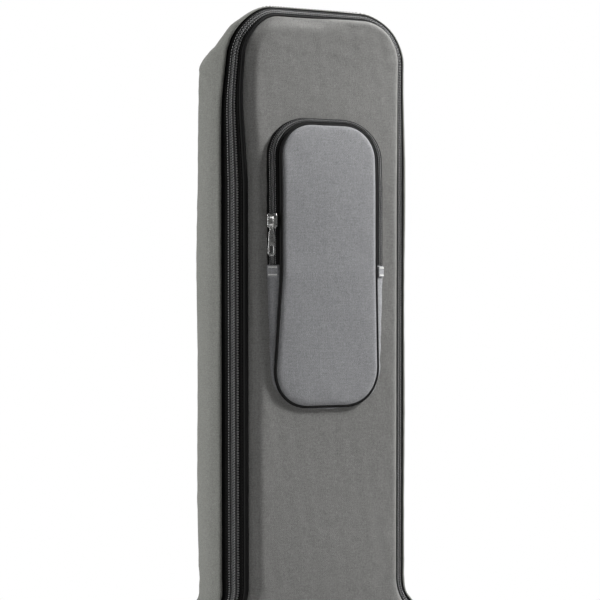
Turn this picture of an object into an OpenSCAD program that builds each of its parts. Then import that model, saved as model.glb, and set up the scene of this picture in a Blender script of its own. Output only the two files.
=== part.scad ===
// Padded gig bag for a solid-body guitar, standing upright on its base bumper.
// X runs across the bag, -Y is the lid side, +Z is up. Units are millimetres.
// The front seam is a closed path of samples [x, z, nx, nz]. Zipper tapes, coils, piping and
// gusset are sections of [outset from the seam, y] carried round that path.

/* [Bag] */
// Depth from the lid fabric to the back panel
bag_depth = 86; // [80:1:94]
// Depth of the soft edge between the lid fabric and the front seam
edge_drop = 5.5; // [5:0.5:7]
// Width of the sloping zipper band
band_width = 25; // [24:0.5:27]
// Fabric thickness of panels
fabric = 1.5; // [1:0.1:2]
// Foam thickness in the panels
foam = 8.8; // [6:0.2:10]
// Share of the side outset that is kept on the top edge
top_share = 0.63; // [0.5:0.01:1]
// Share of the side outset along the neck
neck_share = 1.15; // [1:0.01:1.2]
// Share of the side outset at the top of the headstock part
head_share = 0.8; // [0.7:0.01:1]
// How far the lid leans back at the top
head_setback = 7.4; // [0:0.5:9]

/* [Zipper] */
// Width of one coil half
coil_w = 5; // [4:0.5:5.5]
// Height of the coil above the tape
coil_h = 2; // [1.5:0.1:2.5]
// Clearance between parts that move past each other
gap = 0.3; // [0.3:0.05:0.5]
// Radius of the piping cord
piping_r = 2.2; // [1.8:0.1:2.3]

/* [Headstock pocket] */
// Half width of the pocket face
head_half_w = 49.5; // [45:0.5:52]
// Bottom of the pocket face
head_z0 = 665; // [655:1:675]
// Top of the pocket face
head_z1 = 926; // [920:1:930]
// Height of the two zipper ends, where the face folds
head_fold_z = 793; // [785:1:797]
// Depth of the pocket
head_depth = 11; // [10:0.5:14]

/* [Body pocket] */
// Half width of the pocket face
body_half_w = 102; // [90:1:106]
// Bottom of the pocket face
body_z0 = 82; // [78:1:90]
// Top of the pocket face
body_z1 = 292; // [285:1:300]
// Height of the two zipper ends, where the face folds
body_fold_z = 176; // [170:1:182]
// Depth of the pocket
body_depth = 22; // [16:1:24]

/* [Straps and handle] */
// Width of a shoulder pad
pad_w = 62; // [50:1:70]
// Bow of a strap away from the back panel
strap_bow = 22; // [18:1:24]
// Width of the webbing
web_w = 25; // [20:1:30]
// Distance between the handle's two anchors
handle_len = 140; // [130:1:145]
// Finger room behind the handle grip
handle_reach = 32; // [28:1:36]

/* [Hidden] */
$fn = 48;
arc_step = 12;

// Corners of the front seam, right half from the bottom up: [half width, height, radius].
// Negative turns are the hollow corners at the waist and at the foot of the neck.
seam_corners = [
    [172, 24, 115], [180, 200, 100], [138, 290, 70], [150, 430, 55], [78.5, 462, 45],
    [79.5, 870, 150], [86, 1030, 38]
];
y_lid = -42;
y_back = y_lid + bag_depth - fabric;
y_seam = y_lid + edge_drop;

// ---- paths and sections ----

function unit(v) = v / norm(v);
function mirrored(list) = [for (i = [len(list) - 1:-1:0]) [-list[i][0], list[i][1], list[i][2]]];
function turn_of(d1, d2) = atan2(d1[0] * d2[1] - d1[1] * d2[0], d1 * d2);

// Samples round one corner v of a path that comes from a and goes on to b.
function corner(a, v, b) =
    let (
        d1 = unit([v[0] - a[0], v[1] - a[1]]),
        d2 = unit([b[0] - v[0], b[1] - v[1]]),
        turn = turn_of(d1, d2),
        side = sign(turn),
        start = [v[0], v[1]] - d1 * v[2] * tan(abs(turn) / 2),
        centre = start + [-d1[1], d1[0]] * v[2] * side,
        heading = atan2(d1[1], d1[0]),
        steps = max(2, ceil(abs(turn) / arc_step))
    )
    [for (k = [0:steps])
        let (h = heading + turn * k / steps, n = [sin(h), -cos(h)], p = centre + side * v[2] * n)
        [p[0], p[1], n[0], n[1]]];

function rounded(corners) =
    let (
        n = len(corners),
        arcs = [for (i = [0:n - 1])
            corner(corners[(i + n - 1) % n], corners[i], corners[(i + 1) % n])]
    )
    [for (i = [0:n - 1]) concat(arcs[i], split(arcs[i][len(arcs[i]) - 1], arcs[(i + 1) % n][0]))];

// Extra samples on a straight run where the lid leans back.
function split(a, b) = abs(b[1] - a[1]) > 60 && (a[1] + b[1]) / 2 > lean_from
    ? [for (k = [1:3]) a + (b - a) * k / 4] : [];

function joined(lists) = [for (l = lists) each l];
function ramp(v, from, to) =
    let (t = min(max((v - from) / (to - from), 0), 1)) t * t * (3 - 2 * t);

// Over the headstock the lid leans back and its band narrows. Depths behind the outer edge of
// the band stay where they are.
lean_from = 854;
lean_to = 1004;
hold_y = -15;
function side_share(z) = 1 + (neck_share - 1) * ramp(z, 455, 500)
    - (neck_share - head_share) * ramp(z, lean_from, lean_to);
function lean(y, z) = y + head_setback * ramp(z, lean_from, lean_to)
    * min(max((hold_y - y) / (hold_y - y_seam), 0), 1);
// Pocket samples carry a fifth value, which keeps their full outset at the sides.
function place(s, outset) =
    [s[0] + outset * s[2] * (len(s) > 4 ? 1 : side_share(s[1])),
        s[1] + outset * s[3] * (s[3] > 0 ? top_share : 1)];
function area(q) = [for (i = [0:len(q) - 1]) q[i][0] * q[(i + 1) % len(q)][1]
    - q[(i + 1) % len(q)][0] * q[i][1]] * [for (i = q) 1];

// A section of [outset, y] points carried along a path, closed or with two flat ends.
module band(path, section, closed = true) {
    ring = area(section) > 0 ? section : [for (i = [len(section) - 1:-1:0]) section[i]];
    n = len(path);
    k = len(ring);
    last = closed ? n - 1 : n - 2;
    points = [for (s = path) for (q = ring) let (p = place(s, q[0])) [p[0], lean(q[1], s[1]), p[1]]];
    sides = [for (i = [0:last]) for (j = [0:k - 1])
        let (i2 = (i + 1) % n, j2 = (j + 1) % k,
            a = i * k + j, b = i2 * k + j, c = i2 * k + j2, d = i * k + j2)
        each [[a, b, c], [a, c, d]]];
    caps = closed ? [] : [[for (j = [0:k - 1]) j], [for (j = [k - 1:-1:0]) (n - 1) * k + j]];
    polyhedron(points, concat(sides, caps));
}

// A panel that fills a symmetric path, between two depths. Its rows run from each sample to the
// mirrored one, so it leans back with the lid.
module panel(path, outset, y0, y1) {
    n = len(path);
    half = n / 2;
    points = [for (y = [y0, y1]) for (s = path)
        let (p = place(s, outset)) [p[0], lean(y, s[1]), p[1]]];
    front = [for (i = [0:half - 2]) [n - 1 - i, n - 2 - i, i + 1, i]];
    back = [for (q = front) [q[3] + n, q[2] + n, q[1] + n, q[0] + n]];
    rim = [for (i = [0:n - 1]) let (j = (i + 1) % n) [i, j, j + n, i + n]];
    polyhedron(points, concat(front, back, rim));
}

// A strip of a sloping band: from t0 to t1 along it and from h0 to h1 above it.
function strip(origin, slope, t0, t1, h0, h1) =
    let (u = unit(slope), n = [u[1], -u[0]])
    [origin + u * t0 + n * h0, origin + u * t1 + n * h0, origin + u * t1 + n * h1,
        origin + u * t0 + n * h1];
function circle_section(centre, r, sides) =
    [for (i = [0:sides - 1]) centre + r * [cos(360 * i / sides), sin(360 * i / sides)]];

seam_list = concat(seam_corners, mirrored(seam_corners));
seam_parts = rounded(seam_list);
seam = joined(seam_parts);
// The zipper runs from the top of the right lower bout, over the bag and under it, to the
// bottom of that bout. The sewn hinge strip closes the rest.
zip_path = concat(
    [seam_parts[1][len(seam_parts[1]) - 1]],
    joined([for (i = [2:len(seam_parts) - 1]) seam_parts[i]]),
    seam_parts[0]
);
hinge_path = concat([seam_parts[0][len(seam_parts[0]) - 1]], seam_parts[1]);

band_slope = [15.2, 19.9];
band_origin = [0, y_seam];
tape_start = piping_r + 0.4;
coil_start = 6.6;
lid_coil_end = coil_start + coil_w;
base_coil_start = lid_coil_end + gap;
base_coil_end = base_coil_start + coil_w;
band_u = unit(band_slope);
band_end = band_origin + band_u * band_width;
band_angle = atan2(band_slope[0], band_slope[1]);

// Outer face of the gusset, from the zipper tape round to the back seam.
gusset_line = [
    band_end + [0.2, 0.6], [18.5, -4], [19, 10], [17.5, 26], [13.5, y_back - 6],
    [6, y_back - 0.5]
];
gusset_reach = 19;
function inward(line, i) =
    let (
        a = line[max(i - 1, 0)],
        b = line[min(i + 1, len(line) - 1)],
        d = unit(b - a)
    )
    [-d[1], d[0]];
function layer(line, d0, d1) = concat(
    [for (i = [0:len(line) - 1]) line[i] + inward(line, i) * d0],
    [for (i = [len(line) - 1:-1:0]) line[i] + inward(line, i) * d1]
);

// ---- base shell ----

fabric_grey = [0.45, 0.45, 0.44];
lining_grey = [0.25, 0.25, 0.27];
trim_black = [0.06, 0.06, 0.06];
foam_grey = [0.6, 0.6, 0.62];
metal = [0.75, 0.75, 0.77];

module back_panel() {
    color(fabric_grey) panel(seam, 5, y_back, y_back + fabric);
}

module back_foam() {
    color(foam_grey) panel(seam, -3, y_back - 0.2 - foam, y_back - 0.2);
}

module back_lining() {
    color(lining_grey) panel(seam, -4, y_back - 1.4 - foam, y_back - 0.4 - foam);
}

module gusset() {
    color(fabric_grey) band(seam, layer(gusset_line, 0, fabric));
}

module gusset_foam() {
    color(foam_grey) band(seam, layer(gusset_line, fabric + 0.4, 8.0));
}

module gusset_lining() {
    color(lining_grey) band(seam, layer(gusset_line, 8.4, 9.4));
}

module base_zip_tape() {
    color(trim_black)
        band(zip_path, strip(band_origin, band_slope, base_coil_end, band_width, -0.6, 0.6), false);
}

module base_zip_coil() {
    color(trim_black)
        band(zip_path, strip(band_origin, band_slope, base_coil_start, base_coil_end, -0.8, coil_h),
            false);
}

module hinge_strip() {
    color(trim_black)
        band(hinge_path, strip(band_origin, band_slope, coil_start + 2, band_width, -0.6, 0.6),
            false);
}

// Two fabric tabs sewn over the ends of the zipper, one at each end of the hinge strip.
tab_len = 12;
function slid(s, d) = [s[0] - d * s[3], s[1] + d * s[2], s[2], s[3]];
module zip_end_tabs() {
    first = hinge_path[0];
    last = hinge_path[len(hinge_path) - 1];
    section = strip(band_origin, band_slope, coil_start + 2, base_coil_end + 3, 0.9, 2.1);
    color(fabric_grey) {
        band([slid(first, 0.5), slid(first, tab_len)], section, false);
        band([slid(last, -tab_len), slid(last, -0.5)], section, false);
    }
}

// Rubber pad under the flat middle of the bottom gusset, on which the bag stands.
bumper_w = 112;
bumper_h = seam_corners[0][1] - gusset_reach - gap;
module base_bumper() {
    color(trim_black)
    difference() {
        translate([-bumper_w / 2, -24, 0]) cube([bumper_w, 60, bumper_h]);
        for (i = [-4:3]) translate([i * 12 + 4, -30, -1]) cube([4, 80, 2.2]);
    }
}

// Foam block with a round groove that holds the neck.
rest_z = 560;
rest_h = 60;
rest_front = -6;
groove_r = 30;
module neck_rest() {
    color(lining_grey)
    difference() {
        translate([-62, rest_front, rest_z])
            cube([124, y_back - 1.8 - foam - rest_front, rest_h]);
        translate([0, rest_front - 4, rest_z - 1]) cylinder(r = groove_r, h = rest_h + 2);
    }
}

// ---- lid ----

module lid_panel() {
    color(fabric_grey) panel(seam, -piping_r - 0.5, y_lid, y_lid + fabric);
}

module lid_foam() {
    color(foam_grey) panel(seam, -piping_r - 0.8, y_lid + fabric + 0.2, y_lid + fabric + 0.2 + foam);
}

module lid_lining() {
    color(lining_grey)
        panel(seam, -piping_r - 0.8, y_lid + fabric + 0.4 + foam, y_lid + fabric + 1.4 + foam);
}

module lid_piping() {
    color(trim_black) band(seam, circle_section(band_origin, piping_r, 8));
}

module lid_zip_tape() {
    color(trim_black)
        band(zip_path, strip(band_origin, band_slope, tape_start, coil_start, -0.6, 0.6), false);
}

module lid_zip_coil() {
    color(trim_black)
        band(zip_path, strip(band_origin, band_slope, coil_start, lid_coil_end, -0.8, coil_h), false);
}

// ---- zipper sliders ----
// In a slider's own frame it travels along Y, its width is X and it stands off along Z.

slider_l = 14;
slider_w = 9;
slider_t = 3;
pin_r = 1;
pin_fit = 0.08;
pin_y = -2;
pin_z = gap + slider_t + 2.4;
cheek_x = 1.7;
cheek_t = 1;
pull_l = 31;
pull_w = 7;
pull_t = 1.6;

module slider_body() {
    color(metal) {
        intersection() {
            translate([-slider_w / 2, -slider_l / 2, gap]) cube([slider_w, slider_l, slider_t]);
            translate([0, -3, 0]) cylinder(r = slider_l / 2 + 3, h = 12);
        }
        for (side = [-1, 1])
            translate([side * (cheek_x + cheek_t / 2) - cheek_t / 2, -5, gap + slider_t])
                cube([cheek_t, 9, 4]);
        translate([-cheek_x - cheek_t, pin_y, pin_z]) rotate([0, 90, 0])
            cylinder(r = pin_r, h = 2 * (cheek_x + cheek_t));
    }
}

module slider_pull() {
    color(metal)
    difference() {
        union() {
            translate([-cheek_x + 0.3, pin_y, pin_z]) rotate([0, 90, 0])
                cylinder(r = 2, h = 2 * cheek_x - 0.6);
            translate([-cheek_x + 0.3, pin_y - 8, pin_z - pull_t / 2])
                cube([2 * cheek_x - 0.6, 8, pull_t]);
            translate([-pull_w / 2 + 0.8, pin_y - pull_l + pull_w / 2, pin_z - pull_t / 2])
                cube([pull_w - 1.6, pull_l - 6.5 - pull_w / 2, pull_t]);
            translate([0, pin_y - pull_l + pull_w / 2, pin_z - pull_t / 2])
                cylinder(r = pull_w / 2, h = pull_t);
        }
        translate([-pull_w, pin_y, pin_z]) rotate([0, 90, 0])
            cylinder(r = pin_r + pin_fit, h = 2 * pull_w);
        translate([0, pin_y - pull_l + pull_w / 2, pin_z - 3]) cylinder(r = 1.6, h = 6);
        translate([-1.6, pin_y - pull_l + pull_w / 2, pin_z - 3]) cube([3.2, 5, 6]);
        translate([0, pin_y - pull_l + pull_w / 2 + 5, pin_z - 3]) cylinder(r = 1.6, h = 6);
    }
}

// The main sliders ride on the round lower left corner. Its centre is worked out from the seam.
lower_left = seam_parts[len(seam_parts) - 1];
arc_r = seam_corners[0][2];
arc_centre = [lower_left[0][0] - arc_r * lower_left[0][2], lower_left[0][1] - arc_r * lower_left[0][3]];
slider_band = coil_start + coil_w;
slider_outset = slider_band * band_u[0] + coil_h * band_u[1];
slider_y = y_seam + slider_band * band_u[1] - coil_h * band_u[0];
upper_slider_angle = 22;
lower_slider_angle = 29.5;
module on_corner(angle)
    translate([arc_centre[0], 0, arc_centre[1]])
    rotate([0, -angle, 0])
    translate([-arc_r - slider_outset, slider_y, 0])
    rotate([0, 0, band_angle - 90])
    rotate([90, 0, 0])
    children();

module upper_slider() {
    on_corner(upper_slider_angle) mirror([0, 1, 0]) slider_body();
}

module upper_slider_pull() {
    on_corner(upper_slider_angle) mirror([0, 1, 0]) slider_pull();
}

module lower_slider() {
    on_corner(lower_slider_angle) slider_body();
}

module lower_slider_pull() {
    on_corner(lower_slider_angle) slider_pull();
}

// ---- pockets ----
// A pocket is [half width, bottom, top, corner radius, depth, fold height, slider height].
head = [head_half_w, head_z0, head_z1, 32, head_depth, head_fold_z, 834];
body = [body_half_w, body_z0, body_z1, 42, body_depth, body_fold_z, 217];
pocket_spread = 13;
pocket_pipe_r = 1.9;
pocket_tape_t = pocket_pipe_r + 0.4;
pocket_coil_w = 3.4;

function pocket_corners(p) = [
    [p[0], p[1], p[3]], [p[0], p[2], p[3]], [-p[0], p[2], p[3]], [-p[0], p[1], p[3]]
];
function side_sample(p, side, z) = [side * p[0], z, side, 0];
function marked(path) = [for (s = path) concat(s, [1])];
function upper_path(p) =
    let (c = rounded(pocket_corners(p)), z = p[5] + gap / 2)
    marked(concat([side_sample(p, 1, z)], c[1], c[2], [side_sample(p, -1, z)]));
function lower_path(p) =
    let (c = rounded(pocket_corners(p)), z = p[5] - gap / 2)
    marked(concat([side_sample(p, -1, z)], c[3], c[0], [side_sample(p, 1, z)]));
function face_y(p) = y_lid - p[4];
function pocket_origin(p) = [0, face_y(p) + 1];
function pocket_slope(p) = [pocket_spread, p[4] - 1.9];
function pocket_run(p) = norm(pocket_slope(p));
// The coil lies a little outside the middle of the sloping band.
function pocket_coil_t(p) = pocket_run(p) * 0.52 - pocket_coil_w;
function pocket_angle(p) = atan2(pocket_slope(p)[0], pocket_slope(p)[1]);

module pocket_gusset(p) {
    color(fabric_grey)
        band(lower_path(p),
            strip(pocket_origin(p), pocket_slope(p), pocket_tape_t, pocket_run(p), -0.5, 0.5), false);
}

module pocket_face(p) {
    color(fabric_grey)
        panel(lower_path(p), -pocket_pipe_r - 0.3, face_y(p), face_y(p) + fabric);
}

module pocket_flap_face(p) {
    color(fabric_grey)
        panel(upper_path(p), -pocket_pipe_r - 0.3, face_y(p), face_y(p) + fabric);
}

module pocket_piping(path, p) {
    color(trim_black) band(path, circle_section(pocket_origin(p), pocket_pipe_r, 8), false);
}

module pocket_base_zip(p) {
    t = pocket_coil_t(p) + pocket_coil_w + gap;
    color(trim_black) {
        band(upper_path(p),
            strip(pocket_origin(p), pocket_slope(p), t, t + pocket_coil_w, -0.6, 1.4), false);
        band(upper_path(p),
            strip(pocket_origin(p), pocket_slope(p), t + pocket_coil_w, pocket_run(p), -0.5, 0.5),
            false);
    }
}

module pocket_flap_zip(p) {
    t = pocket_coil_t(p);
    color(trim_black) {
        band(upper_path(p),
            strip(pocket_origin(p), pocket_slope(p), t, t + pocket_coil_w, -0.6, 1.4), false);
        band(upper_path(p), strip(pocket_origin(p), pocket_slope(p), pocket_tape_t, t, -0.5, 0.5),
            false);
    }
}

// A place on the band at the side of a pocket: t along the band, h above it.
module on_pocket_side(p, side, t, h, z)
    translate([0, pocket_origin(p)[1], z])
    translate([side * (p[0] + t * sin(pocket_angle(p)) + h * cos(pocket_angle(p))),
        t * cos(pocket_angle(p)) - h * sin(pocket_angle(p)), 0])
    rotate([0, 0, side * (90 - pocket_angle(p))])
    rotate([90, 0, 0])
    children();

module pocket_end_tabs(p) {
    color(fabric_grey)
    for (side = [-1, 1])
        on_pocket_side(p, side, pocket_coil_t(p) + pocket_coil_w, 0.8, p[5] - 6.2)
            translate([-5, -5, 0]) cube([10, 10.6, 1.2]);
}

module pocket_slider(p) {
    on_pocket_side(p, -1, pocket_coil_t(p) + pocket_coil_w, 1.4, p[6]) slider_body();
}

module pocket_pull(p) {
    on_pocket_side(p, -1, pocket_coil_t(p) + pocket_coil_w, 1.4, p[6]) slider_pull();
}

module head_pocket_gusset() { pocket_gusset(head); }
module head_pocket_face() { pocket_face(head); }
module head_pocket_piping() { pocket_piping(lower_path(head), head); }
module head_pocket_base_zip() { pocket_base_zip(head); }
module head_pocket_end_tabs() { pocket_end_tabs(head); }
module head_flap_face() { pocket_flap_face(head); }
module head_flap_piping() { pocket_piping(upper_path(head), head); }
module head_flap_zip() { pocket_flap_zip(head); }
module head_pocket_slider() { pocket_slider(head); }
module head_pocket_pull() { pocket_pull(head); }

module body_pocket_gusset() { pocket_gusset(body); }
module body_pocket_face() { pocket_face(body); }
module body_pocket_piping() { pocket_piping(lower_path(body), body); }
module body_pocket_base_zip() { pocket_base_zip(body); }
module body_pocket_end_tabs() { pocket_end_tabs(body); }
module body_flap_face() { pocket_flap_face(body); }
module body_flap_piping() { pocket_piping(upper_path(body), body); }
module body_flap_zip() { pocket_flap_zip(body); }
module body_pocket_slider() { pocket_slider(body); }
module body_pocket_pull() { pocket_pull(body); }

// ---- carry handle ----
// In its own frame the handle runs along Z between two anchors and stands off along X.

handle_centre = [178, 12, 298];
handle_tilt = 9;
web_t = 2.4;
handle_w = 30;
grip_l = 96;
grip_t = 12;
grip_w = 40;
module in_handle()
    translate(handle_centre) rotate([0, -handle_tilt, 0]) children();

// The webbing leaves its two stitched posts, rises and runs straight through the grip.
foot_x = 12;
function handle_side(x0, grow) = [
    [x0, -handle_len / 2 - grow], [x0 + handle_reach * 0.5, -handle_len / 2 + 4 - grow],
    [x0 + handle_reach, -grip_l / 2 - grow * 0.5]
];
module handle_webbing() {
    outer = handle_side(foot_x + web_t, web_t * 0.5);
    inner = handle_side(foot_x, -web_t * 0.5);
    ring = concat(outer, [for (i = [2:-1:0]) [outer[i][0], -outer[i][1]]],
        [for (i = [0:2]) [inner[i][0], -inner[i][1]]], [for (i = [2:-1:0]) inner[i]]);
    color(trim_black)
    in_handle() translate([0, handle_w / 2, 0]) rotate([90, 0, 0]) linear_extrude(handle_w)
        polygon(ring);
}

module handle_grip() {
    x = foot_x + handle_reach;
    color(trim_black)
    in_handle()
    for (side = [-1, 1])
        translate([x + web_t / 2 + side * (web_t / 2 + 0.1 + grip_t / 4) - grip_t / 4,
            -grip_w / 2, -grip_l / 2 + 4])
            cube([grip_t / 2, grip_w, grip_l - 8]);
}

// Reinforcement patches on the gusset under the two ends of the handle.
module handle_patches() {
    color(trim_black)
    in_handle()
    for (side = [-1, 1])
        translate([2.6, 0, side * handle_len / 2]) {
            translate([0, -20, -17]) cube([2.6, 40, 34]);
            rotate([0, 90, 0]) cylinder(r = 3, h = foot_x - 2.6 - 2.2);
        }
}

// ---- shoulder straps ----
// A strap bows out from the back panel between its yoke and a tab near the bottom corner.

strap_top = 436;
strap_foot = 66;
pad_foot = 196;
pad_t = 11;
strap_x = 62;
strap_tilt = 7;
strap_root = y_back + fabric + 3.4;
function strap_y(z) = strap_root + strap_bow * sin(180 * (strap_top - z) / (strap_top - strap_foot));
function strap_profile(z0, z1, t, steps) = concat(
    [for (i = [0:steps]) let (z = z0 + (z1 - z0) * i / steps) [strap_y(z), z]],
    [for (i = [steps:-1:0]) let (z = z0 + (z1 - z0) * i / steps) [strap_y(z) + t, z]]
);
module in_strap(side)
    translate([side * strap_x, 0, strap_top]) rotate([0, -side * strap_tilt, 0])
    translate([0, 0, -strap_top]) children();
module shoulder_pad(side) {
    color(fabric_grey) in_strap(side) strap_sheet(pad_w, pad_foot, strap_top, pad_t, 16);
}

// A bowed sheet between two heights of the strap.
module strap_sheet(width, z0, z1, t, steps) {
    profile = strap_profile(z0, z1, t, steps);
    translate([-width / 2, 0, 0])
    rotate([90, 0, 90]) linear_extrude(width) polygon(profile);
}

module left_shoulder_pad() { shoulder_pad(-1); }
module right_shoulder_pad() { shoulder_pad(1); }

lock_h = 26;
module strap_webbing(side) {
    color(trim_black)
    in_strap(side) {
        translate([0, 3, 0]) strap_sheet(web_w, strap_foot, pad_foot - lock_h - 0.4, web_t, 8);
        translate([0, 3, 0]) strap_sheet(web_w, pad_foot - 7, pad_foot - 0.4, web_t, 2);
    }
}

module left_strap_webbing() { strap_webbing(-1); }
module right_strap_webbing() { strap_webbing(1); }

// Plastic adjuster with three bars and two slots, between the pad's tail and the webbing.
module ladder_lock(side) {
    z = pad_foot - 7.4 - (lock_h - 7.4) / 2;
    lean = atan2(strap_y(z + 5) - strap_y(z - 5), 10);
    color(trim_black)
    in_strap(side)
        translate([0, strap_y(z) + 4.2, z]) rotate([-lean, 0, 0])
        difference() {
            translate([-17, -2, -9]) cube([34, 4, 18]);
            for (slot = [-4.4, 4.4]) translate([-13, -5, slot - 2.1]) cube([26, 10, 4.2]);
        }
}

module left_ladder_lock() { ladder_lock(-1); }
module right_ladder_lock() { ladder_lock(1); }

module strap_yoke() {
    color(fabric_grey)
    translate([0, y_back + fabric + 0.3, strap_top])
    hull()
        for (side = [-1, 1])
            translate([side * 62, 0, 0]) rotate([-90, 0, 0]) cylinder(r = 34, h = 2.6, $fn = 32);
}

module strap_tabs() {
    color(fabric_grey)
    for (side = [-1, 1])
        in_strap(side) translate([-20, y_back + fabric + 0.3, strap_foot - 24]) cube([40, 2.6, 34]);
}

// ---- hang loop ----

loop_z = 1012;
loop_l = 52;
loop_gap = 6;
loop_r = loop_gap / 2 + web_t;
loop_pin_y = y_back + fabric + 3.6 + loop_r;
module hang_loop() {
    color(trim_black)
    translate([-web_w / 2, loop_pin_y, 0]) rotate([90, 0, 90]) linear_extrude(web_w)
    difference() {
        union() {
            translate([-loop_r, loop_z - loop_l]) square([2 * loop_r, loop_l]);
            translate([0, loop_z - loop_l]) circle(loop_r);
            translate([0, loop_z]) circle(loop_r);
        }
        translate([-loop_gap / 2, loop_z - loop_l]) square([loop_gap, loop_l - 8]);
        translate([0, loop_z - loop_l]) circle(loop_gap / 2);
    }
}

module hang_loop_patch() {
    color(fabric_grey)
    translate([-24, y_back + fabric + 0.3, loop_z - 16]) cube([48, 2.6, 28]);
}

// ---- nodes ----

back_panel();
back_foam();
back_lining();
gusset();
gusset_foam();
gusset_lining();
base_zip_tape();
base_zip_coil();
hinge_strip();
zip_end_tabs();
base_bumper();
neck_rest();
lid_panel();
lid_foam();
lid_lining();
lid_piping();
lid_zip_tape();
lid_zip_coil();
upper_slider();
upper_slider_pull();
lower_slider();
lower_slider_pull();
head_pocket_gusset();
head_pocket_face();
head_pocket_piping();
head_pocket_base_zip();
head_pocket_end_tabs();
head_flap_face();
head_flap_piping();
head_flap_zip();
head_pocket_slider();
head_pocket_pull();
body_pocket_gusset();
body_pocket_face();
body_pocket_piping();
body_pocket_base_zip();
body_pocket_end_tabs();
body_flap_face();
body_flap_piping();
body_flap_zip();
body_pocket_slider();
body_pocket_pull();
handle_patches();
handle_webbing();
handle_grip();
strap_yoke();
left_shoulder_pad();
right_shoulder_pad();
left_strap_webbing();
right_strap_webbing();
left_ladder_lock();
right_ladder_lock();
strap_tabs();
hang_loop_patch();
hang_loop();
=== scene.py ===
"""Looks of the padded gig bag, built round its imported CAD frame.

Lengths are in millimetres until a mesh is made. X runs across the bag, -Y is the lid side, Z is up.
The front seam is a closed path; every band, piping, coil and stitch row is a section of
(outset from the path, y) carried round it, as in the CAD model.
"""

import math

import bpy
import numpy as np
from mathutils import Matrix, Vector


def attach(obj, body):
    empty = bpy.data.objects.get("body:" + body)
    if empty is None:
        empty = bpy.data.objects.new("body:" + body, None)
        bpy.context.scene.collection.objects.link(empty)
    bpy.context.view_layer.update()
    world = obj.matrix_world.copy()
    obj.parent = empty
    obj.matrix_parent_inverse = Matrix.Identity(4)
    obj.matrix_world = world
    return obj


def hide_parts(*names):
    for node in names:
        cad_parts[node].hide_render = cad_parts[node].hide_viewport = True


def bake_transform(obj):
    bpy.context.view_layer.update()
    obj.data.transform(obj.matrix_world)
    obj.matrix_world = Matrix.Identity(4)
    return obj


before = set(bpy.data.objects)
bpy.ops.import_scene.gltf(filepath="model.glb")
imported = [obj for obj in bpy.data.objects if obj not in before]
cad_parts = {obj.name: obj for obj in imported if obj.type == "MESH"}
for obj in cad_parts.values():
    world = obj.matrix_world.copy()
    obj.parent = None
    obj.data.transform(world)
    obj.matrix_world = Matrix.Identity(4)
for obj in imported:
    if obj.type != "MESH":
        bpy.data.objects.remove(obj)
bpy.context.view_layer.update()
MM = 0.001

# ---------------------------------------------------------------- paths

TOP_SHARE = 0.63
NECK_SHARE = 1.15
HEAD_SHARE = 0.8
HEAD_SETBACK = 7.4
LEAN = (854, 1004)
HOLD_Y = -15.0
Y_SEAM = -36.5
Y_BACK = 42.5
ARC_SPACING = 3.5
LINE_SPACING = 6.0


def ramp(v, start, end):
    t = np.clip((np.asarray(v, float) - start) / (end - start), 0, 1)
    return t * t * (3 - 2 * t)


def lean(y, z):
    """Depth y after the lid has leaned back over the headstock. Depths behind HOLD_Y stay."""
    return y + HEAD_SETBACK * ramp(z, *LEAN) * np.clip((HOLD_Y - y) / (HOLD_Y - Y_SEAM), 0, 1)


SLUMP = 9
SAG_MIDDLE = 9
SAG_SIDES = 16
WELD_GAP = 0.00002


def slump(v):
    """Draws the soft top left corner of the bag in towards its middle."""
    x, y, z = np.moveaxis(np.asarray(v, float), -1, 0)
    front = 1 - 0.8 * ramp(y, -16, 20)
    return np.stack([x + SLUMP * ramp(z, 935, 1034) * ramp(-x, 20, 84) * front, y, z], -1)


class Path:
    """Samples of a seam: points and outward normals in XZ, and the length run so far."""

    def __init__(self, points, normals, closed=True, plain=False):
        self.p = np.array(points, float)
        self.n = np.array(normals, float)
        self.closed = closed
        self.plain = plain
        step = np.linalg.norm(np.diff(self.p, axis=0), axis=1)
        self.s = np.concatenate([[0], np.cumsum(step)])
        tail = np.linalg.norm(self.p[0] - self.p[-1]) if closed else 0
        self.length = self.s[-1] + tail

    def at(self, s):
        """Seam point and normal at run lengths s."""
        xs, ps, ns = self.s, self.p, self.n
        if self.closed:
            xs = np.append(xs, self.length)
            ps = np.vstack([ps, ps[:1]])
            ns = np.vstack([ns, ns[:1]])
            s = np.mod(s, self.length)
        p = np.stack([np.interp(s, xs, ps[:, k]) for k in (0, 1)], -1)
        n = np.stack([np.interp(s, xs, ns[:, k]) for k in (0, 1)], -1)
        return p, n / np.linalg.norm(n, axis=-1, keepdims=True)

    def spread(self, s, outset, y):
        """Points at run lengths s, pushed out by outset, at depth y."""
        p, n = self.at(s)
        side = 1 + (NECK_SHARE - 1) * ramp(p[..., 1], 455, 500)
        side = side - (NECK_SHARE - HEAD_SHARE) * ramp(p[..., 1], *LEAN)
        side = np.ones_like(side) if self.plain else side
        rise = np.where(n[..., 1] > 0, TOP_SHARE, 1.0)
        return np.stack([p[..., 0] + outset * n[..., 0] * side, lean(y, p[..., 1]),
                         p[..., 1] + outset * n[..., 1] * rise], -1)

    def place(self, s, outset, y):
        """The same points on the slumped bag."""
        v = self.spread(s, outset, y)
        return v if self.plain else slump(v)

    def outline(self, outset):
        return self.spread(self.s, outset, 0.0)[:, ::2]

    def sub(self, keep):
        """An open path of the samples with these indices."""
        i = np.array(keep) % len(self.p)
        return Path(self.p[i], self.n[i], False, self.plain)


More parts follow.
